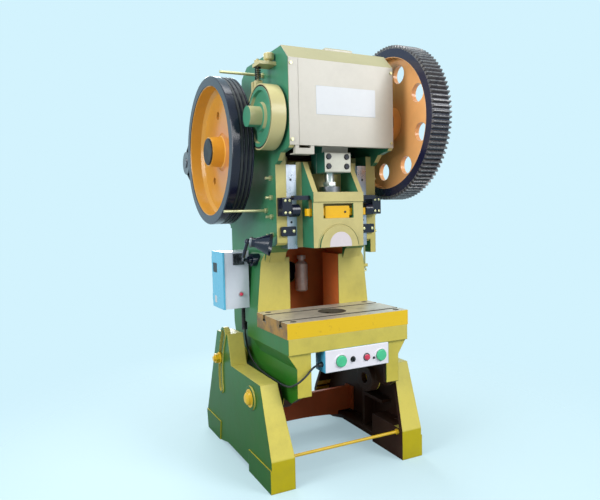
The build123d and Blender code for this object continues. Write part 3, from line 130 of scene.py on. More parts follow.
class Wiring:
    """Adds nodes to one node tree and joins them."""

    def __init__(self, tree: bpy.types.NodeTree) -> None:
        """Keeps the tree that the nodes go in."""
        self.tree = tree

    def node(self, kind: str, **settings: object) -> Node:
        """Adds a node.

        Args:
            kind: The node's type.
            settings: Values of the node's own properties.

        Returns:
            The new node.
        """
        made = self.tree.nodes.new(kind)
        for name, value in settings.items():
            setattr(made, name, value)
        return made

    def feed(self, socket: Socket, value: object) -> None:
        """Joins another socket to this one, or sets its value.

        Args:
            socket: The socket that is fed.
            value: The other socket, or a value.
        """
        if isinstance(value, Socket):
            self.tree.links.new(value, socket)
        else:
            socket.default_value = value

    def fill(self, node: Node, **values: object) -> Node:
        """Feeds a node's named inputs.

        Args:
            node: The node.
            values: Value or socket for each input, with _ for a space in its name.

        Returns:
            The same node.
        """
        for name, value in values.items():
            self.feed(node.inputs[name.replace("_", " ")], value)
        return node

    def result(self, kind: str, inputs: dict[int | str, object], output: int | str = 0,
               **settings: object) -> Socket:
        """Adds a node, feeds its inputs and gives one of its outputs.

        Args:
            kind: The node's type.
            inputs: Value or socket by the input's number or name.
            output: Number or name of the output.
            settings: Values of the node's own properties.

        Returns:
            The output.
        """
        node = self.node(kind, **settings)
        for key, value in inputs.items():
            self.feed(node.inputs[key], value)
        return node.outputs[output]

    def maths(self, operation: str, first: object, second: object = 0.0) -> Socket:
        """Works one sum out of two values."""
        return self.result("ShaderNodeMath", {0: first, 1: second}, operation=operation)

    def length(self, first: Socket, second: Socket) -> Socket:
        """Works out how far a point is from the middle, both ways taken together."""
        squares = [self.maths("MULTIPLY", side, side) for side in (first, second)]
        return self.maths("SQRT", self.maths("ADD", *squares))

    def spread(self, value: object, low: float, high: float, start: float = 0.0,
               end: float = 1.0) -> Socket:
        """Maps a value from low..high to start..end, held at both ends."""
        inputs = dict(enumerate((value, low, high, start, end)))
        return self.result("ShaderNodeMapRange", inputs, clamp=True)

    def mix(self, factor: object, first: object, second: object) -> Socket:
        """Blends two colours."""
        return self.result("ShaderNodeMix", {0: factor, 6: first, 7: second}, 2, data_type="RGBA")

    def shade(self, colour: object, amount: object) -> Socket:
        """Multiplies a colour by a grey amount."""
        given = colour if isinstance(colour, Socket) else colour[:3]
        return self.result("ShaderNodeVectorMath", {0: given, 3: amount}, operation="SCALE")

    def noise(self, place: Socket, scale: float, detail: float = 3.0, roughness: float = 0.5) -> Socket:
        """Adds noise at a scale per metre."""
        inputs = {"Vector": place, "Scale": scale, "Detail": detail, "Roughness": roughness}
        return self.result("ShaderNodeTexNoise", inputs)

    def place(self) -> Socket:
        """Gives the object's own coordinates."""
        return self.node("ShaderNodeTexCoord").outputs["Object"]

    def stretched(self, grain: Grain) -> Socket:
        """Gives the object's own coordinates, stretched along the marks of machining."""
        return self.result("ShaderNodeMapping", {"Vector": self.place(), "Scale": grain.value})

    def facing(self) -> Socket:
        """Gives the direction that the surface faces, in the object's own frame."""
        return self.node("ShaderNodeTexCoord").outputs["Normal"]

    def split(self, vector: Socket) -> list[Socket]:
        """Gives the X, Y and Z of a vector."""
        return list(self.result("ShaderNodeSeparateXYZ", {0: vector}).node.outputs)

    def shared(self, effect: bpy.types.NodeTree, **values: object) -> bpy.types.bpy_prop_collection:
        """Places a shared effect with its own values and gives its outputs."""
        return self.fill(self.node("ShaderNodeGroup", node_tree=effect), **values).outputs


class Effects:
    """Effects that several finishes share, each made once as a node group."""

    OUTPUTS = {"Color": "NodeSocketColor", "Normal": "NodeSocketVector"}
    INPUTS = {3: "NodeSocketVector", 4: "NodeSocketColor"}
    PLAIN = "NodeSocketFloat"

    def __init__(self) -> None:
        """Builds every shared effect."""
        self.skin = self._skin()
        self.grime = self._grime()
        self.edges = self._edges()
        self.machining = self._machining()
        self.region = self._region()

    def _group(self, name: str, outputs: tuple[str, ...], **inputs: object
               ) -> tuple[Wiring, bpy.types.bpy_prop_collection, Node]:
        """Starts a node group.

        Args:
            name: The group's name.
            outputs: Names of its outputs.
            inputs: First value of each input by its name.

        Returns:
            The group's wiring, what its inputs give and its output node.
        """
        tree = bpy.data.node_groups.new(name, "ShaderNodeTree")
        for label, value in inputs.items():
            kind = self.INPUTS[len(value)] if isinstance(value, tuple) else self.PLAIN
            tree.interface.new_socket(name=label, in_out="INPUT", socket_type=kind).default_value = value
        for label in outputs:
            kind = self.OUTPUTS.get(label, self.PLAIN)
            tree.interface.new_socket(name=label, in_out="OUTPUT", socket_type=kind)
        w = Wiring(tree)
        return w, w.node("NodeGroupInput").outputs, w.node("NodeGroupOutput")

    def _skin(self) -> bpy.types.NodeTree:
        """Brushed-on paint: cloudy colour, uneven gloss and a faint orange-peel height.

        Returns:
            The effect's node group.
        """
        w, given, result = self._group("paint_skin", ("Color", "Roughness", "Height"),
                                       Color=(0.5, 0.5, 0.5, 1), Clouding=0.12, Gloss=0.35)
        place = w.place()
        clouds = w.noise(place, 3.2, 4.0, 0.55)
        spots = w.noise(place, 38.0, 3.0, 0.6)
        swing = w.maths("MULTIPLY", w.maths("SUBTRACT", clouds, 0.5), given["Clouding"])
        fine = w.maths("MULTIPLY", w.maths("SUBTRACT", spots, 0.5), 0.07)
        amount = w.maths("ADD", 1.0, w.maths("ADD", w.maths("MULTIPLY", swing, 2.0), fine))
        peel = w.noise(place, 260.0, 1.0, 0.4)
        wave = w.noise(place, 26.0, 2.0, 0.5)
        w.fill(result, Color=w.shade(given["Color"], amount),
               Roughness=w.maths("ADD", given["Gloss"], w.maths("MULTIPLY", clouds, 0.14)),
               Height=w.maths("ADD", w.maths("MULTIPLY", peel, 0.35), wave))
        return w.tree

    def _grime(self) -> bpy.types.NodeTree:
        """Oily dust in patches: a mask that is thicker where the noise gathers.

        Returns:
            The effect's node group.
        """
        w, given, result = self._group("oily_dust", ("Mask",), Amount=0.3)
        place = w.place()
        patches = w.spread(w.noise(place, 7.0, 5.0, 0.62), 0.46, 0.78)
        specks = w.spread(w.noise(place, 120.0, 2.0, 0.7), 0.55, 0.78)
        both = w.maths("ADD", w.maths("MULTIPLY", patches, 0.75), w.maths("MULTIPLY", specks, 0.25))
        w.fill(result, Mask=w.maths("MULTIPLY", both, given["Amount"]))
        return w.tree

    def _edges(self) -> bpy.types.NodeTree:
        """Rounded edges as a normal, and a mask of where paint has rubbed off them.

        Returns:
            The effect's node group.
        """
        w, given, result = self._group("rubbed_edges", ("Normal", "Mask"), Radius=0.003, Wear=0.4)
        rounded = w.result("ShaderNodeBevel", {"Radius": given["Radius"]}, samples=6)
        plain = w.node("ShaderNodeNewGeometry").outputs["Normal"]
        alike = w.result("ShaderNodeVectorMath", {0: rounded, 1: plain}, "Value", operation="DOT_PRODUCT")
        bend = w.spread(w.maths("SUBTRACT", 1.0, alike), 0.04, 0.22)
        patchy = w.spread(w.noise(w.place(), 34.0, 4.0, 0.65), 0.42, 0.68)
        mask = w.maths("MULTIPLY", w.maths("MULTIPLY", bend, patchy), given["Wear"])
        w.fill(result, Normal=rounded, Mask=mask)
        return w.tree

    def _machining(self) -> bpy.types.NodeTree:
        """Fine cutter marks along one direction, with uneven oil film.

        Returns:
            The effect's node group.
        """
        w, given, result = self._group("cutter_marks", ("Color", "Roughness", "Height"), Marks=(0, 0, 0),
                                       Color=(0.6, 0.6, 0.6, 1), Roughness=0.3)
        lines = w.noise(given["Marks"], 1.0, 4.0, 0.65)
        film = w.noise(w.place(), 9.0, 4.0, 0.6)
        tone = w.maths("ADD", w.spread(lines, 0.3, 0.7, 0.86, 1.06), w.spread(film, 0.3, 0.7, -0.12, 0.05))
        rough = w.maths("ADD", given["Roughness"], w.spread(film, 0.3, 0.7, -0.06, 0.16))
        w.fill(result, Color=w.shade(given["Color"], tone), Roughness=rough, Height=lines)
        return w.tree

    def _region(self) -> bpy.types.NodeTree:
        """Mask of the places between two corners, the same on the left and the right.

        Returns:
            The effect's node group.
        """
        w, given, result = self._group("between_corners", ("Mask",), Low=(0, 0, 0), High=(1, 1, 1))
        x, y, z = w.split(w.place())
        least: object = 1.0
        for value, low, high in zip((w.maths("ABSOLUTE", x), y, z), w.split(given["Low"]),
                                    w.split(given["High"])):
            least = w.maths("MINIMUM", least, w.maths("SUBTRACT", value, low))
            least = w.maths("MINIMUM", least, w.maths("SUBTRACT", high, value))
        w.fill(result, Mask=w.maths("GREATER_THAN", least, 0.0))
        return w.tree


class Surface:
    """One material while it is being wired."""

    def __init__(self, name: str, effects: Effects) -> None:
        """Starts the material with its shader.

        Args:
            name: The material's name.
            effects: The shared effects.
        """
        self.material = bpy.data.materials.new(name)
        self.material.use_nodes = True
        self.wiring = Wiring(self.material.node_tree)
        self.shader = self.material.node_tree.nodes["Principled BSDF"]
        self.effects = effects

    def set(self, **values: object) -> None:
        """Sets or joins the shader's sockets, named with _ for a space."""
        self.wiring.fill(self.shader, **values)

    def mask(self, effect: bpy.types.NodeTree, **values: object) -> Socket:
        """Places a shared effect with its own values and gives its mask."""
        return self.wiring.shared(effect, **values)["Mask"]

    def relief(self, height: Socket, depth: float, strength: float, normal: Socket | None = None) -> None:
        """Raises the surface by a height.

        Args:
            height: Socket that gives the height.
            depth: What a height of 1 is, in metres.
            strength: How strongly it shows.
            normal: Normal that the relief is laid on.
        """
        inputs = {"Strength": strength, "Distance": depth, "Height": height}
        if normal is not None:
            inputs["Normal"] = normal
        self.set(Normal=self.wiring.result("ShaderNodeBump", inputs))


@dataclass(frozen=True)
class Finish:
    """A named finish that becomes one material."""

    name: str

    def wire(self, surface: Surface) -> None:
        """Wires the finish on a surface."""
        raise NotImplementedError

    def build(self, effects: Effects) -> bpy.types.Material:
        """Makes the finish's material.

        Args:
            effects: The shared effects.

        Returns:
            The material.
        """
        surface = Surface(self.name, effects)
        self.wire(surface)
        return surface.material


@dataclass(frozen=True, kw_only=True)
class Paint(Finish):
    """What every paint shares: an uneven film with dust on it, rubbed off at the edges."""

    gloss: float = 0.28
    clouding: float = 0.06
    dirt: float = 0.15
    dulling: float = 0.3
    wear: float = 0.35
    edge: float = 0.0015
    coat: float = 0.12
    coat_roughness: float = 0.12
    specular: float = 0.35
    depth: float = 0.0006
    strength: float = 0.25
    dust: Rgb = (92, 84, 58)
    iron: Rgb = (96, 92, 86)

    def film(self, surface: Surface, colour: object) -> tuple[Socket, Socket, Socket, Socket]:
        """Lays the film on a surface.

        Args:
            surface: The surface.
            colour: The paint's colour.

        Returns:
            The dusty colour, the roughness, the mask of the dust and the mask of the rubbed edges.
        """
        w = surface.wiring
        skin = w.shared(surface.effects.skin, Color=colour, Clouding=self.clouding, Gloss=self.gloss)
        dust = surface.mask(surface.effects.grime, Amount=self.dirt)
        rubbed = w.shared(surface.effects.edges, Radius=self.edge, Wear=self.wear)
        surface.set(Coat_Weight=self.coat, Coat_Roughness=self.coat_roughness,
                    Specular_IOR_Level=self.specular)
        surface.relief(skin["Height"], self.depth, self.strength, rubbed["Normal"])
        return w.mix(dust, skin["Color"], linear(self.dust)), skin["Roughness"], dust, rubbed["Mask"]

    def show(self, surface: Surface, colour: Socket, roughness: Socket, dull: Socket,
             bare: Socket) -> None:
        """Joins the film's colour and roughness to the shader.

        Args:
            surface: The surface.
            colour: The dusty colour.
            roughness: The film's roughness.
            dull: Mask of where the film is dull.
            bare: Mask of where it has rubbed off.
        """
        w = surface.wiring
        surface.set(Base_Color=w.mix(bare, colour, linear(self.iron)),
                    Roughness=w.maths("ADD", roughness, w.maths("MULTIPLY", dull, self.dulling)))


@dataclass(frozen=True, kw_only=True)
class CastingPaint(Paint):
    """Two-tone casting paint: green sides, cream front and top, primer inside that turns dark lower down as
    painted shade.
    """

    side_low: Rgb = (38, 106, 26)
    side_high: Rgb = (58, 128, 98)
    front_low: Rgb = (208, 192, 78)
    front_high: Rgb = (202, 192, 132)
    change: Pair = (0.5, 1.7)
    front_turn: Pair = (0.45, 0.62)
    foot: Rgb | None = None
    foot_line: Pair = (0.150, 0.160)
    inside: Rgb = (216, 114, 58)
    # Painted shade: the primer's colour low in the hollows, below the shade line.
    inside_shade: Rgb = (54, 28, 16)
    shade_line: Pair = (0.69, 0.74)
    primer_boxes: tuple[Box, ...] = ()
    primer_inward: bool = False
    inward_turn: float = -0.3
    gloss: float = 0.26
    clouding: float = 0.13
    dirt: float = 0.28
    dulling: float = 0.25
    wear: float = 0.55
    edge: float = 0.004
    coat: float = 0.05
    coat_roughness: float = 0.18
    specular: float = 0.22
    depth: float = 0.0012
    strength: float = 0.35

    def wire(self, surface: Surface) -> None:
        """Wires the finish.

        Args:
            surface: The surface that takes it.
        """
        w = surface.wiring
        nx, ny, nz = w.split(w.facing())
        x, _, z = w.split(w.place())
        level = w.spread(z, *self.change)
        side = w.mix(level, linear(self.side_low), linear(self.side_high))
        front = w.mix(level, linear(self.front_low), linear(self.front_high))
        if self.foot is not None:
            front = w.mix(w.spread(z, *self.foot_line), linear(self.foot), front)
        towards = w.maths("MAXIMUM", w.maths("MULTIPLY", ny, -1.0), nz)
        painted = w.mix(w.spread(towards, *self.front_turn), side, front)
        raw: object = 0.0
        for low, high in self.primer_boxes:
            box = surface.mask(surface.effects.region, Low=at(*low), High=at(*high))
            raw = w.maths("MAXIMUM", raw, box)
        if self.primer_inward:
            outward = w.maths("MULTIPLY", w.maths("SIGN", x), nx)
            raw = w.maths("MAXIMUM", raw, w.maths("LESS_THAN", outward, self.inward_turn))
        # Below the shade line the primer is painted dark brown as painted shade in the legs and the lower
        # throat.
        primer = w.mix(w.spread(z, *self.shade_line), linear(self.inside_shade), linear(self.inside))
        colour, roughness, dust, bare = self.film(surface, w.mix(raw, painted, primer))
        self.show(surface, colour, roughness, w.maths("ADD", dust, raw), bare)


@dataclass(frozen=True)
class PlainPaint(Paint):
    """One colour of paint on sheet or small parts, lighter or darker where it faces up."""

    colour: Rgb
    top: Rgb | None = None
    top_turn: Pair = (0.3, 0.75)

    def wire(self, surface: Surface) -> None:
        """Wires the finish.

        Args:
            surface: The surface that takes it.
        """
        w = surface.wiring
        base: object = linear(self.colour)
        if self.top is not None:
            base = w.mix(w.spread(w.split(w.facing())[2], *self.top_turn), base, linear(self.top))
        self.show(surface, *self.film(surface, base))


@dataclass(frozen=True, kw_only=True)
class WheelPaint(Paint):
    """Wheel with an orange web and hub and a dark glossy rim."""

    centre: Pair
    rim_from: float = 0.3465
    rim: Rgb = (9, 10, 38)
    web: Rgb = (212, 158, 62)
    web_inner: Rgb = (208, 134, 58)
    hub: Rgb = (236, 172, 60)
    hub_to: float = 0.085
    hub_step: float = 0.004
    rim_step: float = 0.002
    tooth_from: float | None = None
    gloss: float = 0.14
    clouding: float = 0.1
    dirt: float = 0.16
    dulling: float = 0.14
    wear: float = 0.6
    edge: float = 0.0025
    coat_roughness: float = 0.08
    depth: float = 0.0008
    iron: Rgb = (134, 130, 126)

    def wire(self, surface: Surface) -> None:
        """Wires the finish.

        Args:
            surface: The surface that takes it.
        """
        w = surface.wiring
        _, y, z = w.split(w.place())
        radius = w.length(w.maths("SUBTRACT", y, self.centre[0]), w.maths("SUBTRACT", z, self.centre[1]))
        web = w.mix(w.spread(radius, self.hub_to, self.rim_from), linear(self.web_inner), linear(self.web))
        orange = w.mix(w.maths("LESS_THAN", radius, self.hub_to + self.hub_step), web, linear(self.hub))
        rim = w.spread(radius, self.rim_from, self.rim_from + self.rim_step)
        colour, roughness, _, bare = self.film(surface, w.mix(rim, orange, linear(self.rim)))
        if self.tooth_from is not None:
            marks = w.spread(w.noise(w.place(), 60.0, 4.0, 0.7), 0.35, 0.65, 0.3, 0.8)
            toothed = w.maths("GREATER_THAN", radius, self.tooth_from)
            bare = w.maths("MAXIMUM", bare, w.maths("MULTIPLY", toothed, marks))
        self.show(surface, colour, roughness, bare, bare)
        surface.set(Metallic=w.maths("MULTIPLY", bare, 0.6))


@dataclass(frozen=True)
class MachinedSteel(Finish):
    """Cut or ground metal with marks along one direction."""

    colour: Rgb
    grain: Grain
    roughness: float = 0.28
    metallic: float = 0.9
    stain: float = 0.3
    edge: float = 0.0012
    oil: Rgb = (70, 60, 44)

    def wire(self, surface: Surface) -> None:
        """Wires the finish.

        Args:
            surface: The surface that takes it.
        """
        w, effects = surface.wiring, surface.effects
        marks = w.shared(effects.machining, Marks=w.stretched(self.grain), Color=linear(self.colour),
                         Roughness=self.roughness)
        oil = surface.mask(effects.grime, Amount=self.stain)
        surface.set(Base_Color=w.mix(oil, marks["Color"], linear(self.oil)), Roughness=marks["Roughness"],
                    Metallic=w.spread(oil, 0.0, 1.0, self.metallic, self.metallic * 0.4))
        rubbed = w.shared(effects.edges, Radius=self.edge, Wear=0.0)
        surface.relief(marks["Height"], 0.0002, 0.3, rubbed["Normal"])


@dataclass(frozen=True)
class BolsterFinish(Finish):
    """Bolster: yellow front edge, ground top with oil stains, dull worn sides."""

    steel: Rgb = (214, 204, 186)
    stain: Rgb = (104, 92, 66)
    yellow: Rgb = (232, 190, 8)
    chipped: Rgb = (168, 120, 30)
    side: Rgb = (160, 114, 24)
    side_worn: Rgb = (98, 72, 38)
    slot_wall: Rgb = (84, 76, 62)
    bare_edge: Rgb = (190, 184, 170)
    front_y: float = -184
    side_x: float = 0.3495

    def wire(self, surface: Surface) -> None:
        """Wires the finish.

        Args:
            surface: The surface that takes it.
        """
        w, effects = surface.wiring, surface.effects
        nx, _, nz = w.split(w.facing())
        place = w.place()
        x, y, _ = w.split(place)
        marks = w.shared(effects.machining, Marks=w.stretched(Grain.ACROSS), Color=linear(self.steel),
                         Roughness=0.34)
        stains = w.spread(w.noise(place, 11.0, 6.0, 0.7), 0.5, 0.74, 0.0, 0.6)
        top = w.mix(stains, marks["Color"], linear(self.stain))
        chips = w.spread(w.noise(place, 42.0, 5.0, 0.75), 0.62, 0.66, 0.0, 0.7)
        edge = w.mix(w.maths("MULTIPLY", chips, 0.4), linear(self.yellow), linear(self.chipped))
        rub = w.spread(w.noise(place, 16.0, 5.0, 0.7), 0.44, 0.62, 0.0, 0.85)
        flank = w.mix(rub, linear(self.side), linear(self.side_worn))
        painted = w.mix(w.spread(w.maths("ABSOLUTE", nx), 0.5, 0.7), edge, flank)
        outer = w.maths("MAXIMUM", w.maths("LESS_THAN", y, at(0, self.front_y, 0)[1]),
                        w.maths("GREATER_THAN", w.maths("ABSOLUTE", x), self.side_x))
        painted = w.mix(outer, linear(self.slot_wall), painted)
        is_top = w.spread(nz, 0.5, 0.7)
        rubbed = w.shared(effects.edges, Radius=0.002, Wear=0.8)
        surface.set(Base_Color=w.mix(rubbed["Mask"], w.mix(is_top, painted, top), linear(self.bare_edge)),
                    Roughness=w.spread(w.maths("ADD", chips, stains), 0.0, 1.2, 0.4, 0.65),
                    Metallic=w.maths("MULTIPLY", is_top, w.spread(stains, 0.0, 0.6, 0.35, 0.1)))
        surface.relief(marks["Height"], 0.0002, 0.25, rubbed["Normal"])


@dataclass(frozen=True)
class Moulded(Finish):
    """Moulded plastic or rubber with a fine grain."""

    colour: Rgb
    roughness: float = 0.35
    coat: float = 0.0
    grain: float = 500.0
    relief: float = 0.2
    dirt: float = 0.1
    dust: Rgb = (150, 144, 122)

    def wire(self, surface: Surface) -> None:
        """Wires the finish.

        Args:
            surface: The surface that takes it.
        """
        w = surface.wiring
        film = w.noise(w.place(), 24.0, 3.0, 0.6)
        dust = surface.mask(surface.effects.grime, Amount=self.dirt)
        tone = w.shade(linear(self.colour), w.spread(film, 0.3, 0.7, 0.92, 1.06))
        surface.set(Base_Color=w.mix(dust, tone, linear(self.dust)), Coat_Weight=self.coat,
                    Roughness=w.spread(film, 0.3, 0.7, self.roughness * 0.85, self.roughness * 1.25),
                    Coat_Roughness=0.08)
        surface.relief(w.noise(w.place(), self.grain, 2.0, 0.5), 0.0001, self.relief)


@dataclass(frozen=True)
class BulbGlass(Finish):
    """Frosted glass of the lamp's bulb."""

    glass: Rgb = (244, 242, 232)

    def wire(self, surface: Surface) -> None:
        """Wires the finish."""
        w = surface.wiring
        surface.set(Base_Color=linear(self.glass), Coat_Weight=0.6, Coat_Roughness=0.05,
                    Roughness=w.spread(w.noise(w.place(), 300.0, 2.0), 0.3, 0.7, 0.25, 0.4))


FRAME_INSIDE = (
    ((0, 188, 738), (285, 521, 1640)),
    ((0, 170, 1640), (269.5, 380, 1850)),
    ((0, -170, 300), (292, 900, 656)),
)
LEG_INSIDE = (
    ((0, -150, -5), (425, 790, 150)),
    ((0, -100, 150), (425, 770, 300)),
    ((0, -40, 300), (425, 740, 478)),
)
FINISHES: dict[Finish, tuple[str, ...]] = {
    CastingPaint("frame_paint", primer_boxes=FRAME_INSIDE, edge=0.006): ("frame_casting", "motor_bracket"),
    CastingPaint("leg_paint", side_low=(24, 88, 4), side_high=(36, 104, 26), front_low=(214, 198, 92),
                 front_high=(208, 198, 108), foot=(192, 174, 18), primer_inward=True, edge=0.006,
                 primer_boxes=LEG_INSIDE, change=(0.3, 0.8)): ("left_leg", "right_leg"),
    CastingPaint("slide_paint", front_high=(202, 190, 128), front_low=(202, 190, 128),
                 side_low=(44, 122, 84), edge=0.003): ("slide", "shank_clamp"),
    CastingPaint("rod_paint", front_low=(206, 206, 192), front_high=(206, 206, 192), edge=0.003,
                 side_low=(44, 112, 96), side_high=(44, 112, 96)): ("connecting_rod", "rod_clamp"),
    CastingPaint("drum_paint", side_high=(70, 142, 112), front_high=(196, 190, 140),
                 edge=0.003): ("brake_drum", "crankshaft"),
    PlainPaint("cover_paint", (190, 185, 172), top=(168, 162, 118), gloss=0.24, dirt=0.12, wear=0.25,
               clouding=0.05): ("head_cover", "top_lid"),
    PlainPaint("cream_paint", (198, 188, 134), edge=0.002): ("brake_band", "brake_tension_bolt"),
    PlainPaint("primer_paint", (184, 80, 34), gloss=0.5, coat=0.0, dirt=0.4,
               clouding=0.2): ("rear_tie", "rod_cap"),
    PlainPaint("yellow_paint", (222, 180, 30), dirt=0.2): (
        "front_tie_rod", "pivot_bolts", "tilt_clamp_bolts"),
    PlainPaint("bar_yellow", (240, 184, 6), dirt=0.08, clouding=0.03): ("knockout_bar",),
    PlainPaint("navy_paint", (16, 18, 40), gloss=0.16, dirt=0.06, coat=0.2): (
        "knockout_stops", "gib_keepers"),
    PlainPaint("motor_paint", (62, 122, 98), dirt=0.3): ("motor",),
    PlainPaint("box_white", (216, 222, 234), gloss=0.22, dirt=0.08, clouding=0.03,
               wear=0.15): ("electric_box",),
    PlainPaint("door_blue", (92, 184, 218), gloss=0.2, dirt=0.06, clouding=0.03, wear=0.2): ("box_door",),
    PlainPaint("panel_white", (240, 236, 244), gloss=0.2, dirt=0.06, clouding=0.03,
               wear=0.15): ("two_hand_box",),
    PlainPaint("panel_blue", (84, 178, 214), gloss=0.2, dirt=0.06, clouding=0.03, wear=0.2): (),
    PlainPaint("lamp_enamel", (10, 16, 38), gloss=0.14, dirt=0.04,
               coat=0.3): ("lamp_base", "lamp_arm", "lamp_shade"),
    PlainPaint("plate_white", (192, 196, 200), gloss=0.18, dirt=0.04, clouding=0.02, wear=0.0): (),
    PlainPaint("plate_lilac", (222, 212, 216), gloss=0.2, dirt=0.04, clouding=0.02, wear=0.0): (),
    WheelPaint("flywheel_paint", centre=(0.07447, 1.676)): ("flywheel",),
    WheelPaint("gear_paint", centre=(-0.3725, 1.8), rim=(30, 30, 56), web=(238, 178, 116), hub_to=0.092,
               web_inner=(228, 158, 92), hub=(220, 150, 76), tooth_from=0.3905): ("big_gear",),
    MachinedSteel("pinion_steel", (96, 92, 90), Grain.ACROSS, 0.4): ("pinion",),
    MachinedSteel("ground_steel", (176, 180, 190), Grain.UPRIGHT, 0.26, stain=0.45): (
        "gib_left", "gib_right"),
    MachinedSteel("turned_steel", (128, 128, 132), Grain.TURNED, 0.32): ("ball_seat_cap", "motor_pulley"),
    MachinedSteel("bright_screw", (206, 206, 200), Grain.DEEP, 0.24, stain=0.2): ("adjusting_screw",),
    MachinedSteel("zinc", (214, 208, 158), Grain.TURNED, 0.34, metallic=0.6, stain=0.2): (
        "gib_screws", "guard_rods", "shaft_bearings", "clutch_pull_rod", "cover_bolts"),
    MachinedSteel("dark_bolt", (52, 52, 56), Grain.TURNED, 0.42): (
        "cap_bolts", "rod_clamp_bolts", "bolster_bolts", "drive_shaft", "brake_spring"),
    MachinedSteel("bronze", (176, 132, 66), Grain.TURNED, 0.3): ("crank_bushes",),
    BolsterFinish("bolster_finish"): ("bolster_plate",),
    Moulded("black_rubber", (26, 27, 30), 0.5, relief=0.3): ("v_belts", "cable"),
    Moulded("lining", (40, 34, 30), 0.8, grain=300.0, relief=0.5): ("brake_lining",),
    Moulded("bottle", (206, 186, 178), 0.25, coat=0.4): ("oil_reservoir",),
    Moulded("mint", (64, 196, 138), 0.22, coat=0.6, dirt=0.04): ("palm_button_left", "palm_button_right"),
    Moulded("red", (206, 30, 70), 0.24, coat=0.6, dirt=0.03): ("stop_button", "box_button"),
    Moulded("black_plastic", (16, 17, 20), 0.3, coat=0.2, dirt=0.02): (
        "isolator", "selector", "cable_glands"),
    Moulded("smoked", (16, 20, 28), 0.4, dirt=0.03): (),
    BulbGlass("bulb"): (),
}


class Paintwork:
    """Every finish on the press as a material."""

    def __init__(self, effects: Effects) -> None:
        """Builds the finishes from the shared effects."""
        self.kinds = {finish.name: finish.build(effects) for finish in FINISHES}

    def dress(self, nodes: dict[str, bpy.types.Object]) -> None:
        """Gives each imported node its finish.

        Args:
            nodes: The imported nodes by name.
        """
        left = set(nodes)
        for finish, names in FINISHES.items():
            for name in names:
                piece = nodes[name]
                if not piece.material_slots:
                    piece.data.materials.append(None)
                for place in piece.material_slots:
                    place.material = self.kinds[finish.name]
                left.discard(name)
        if left:
            raise ValueError(f"nodes without a finish: {sorted(left)}")
        log.info("finishes on %d nodes", len(nodes))


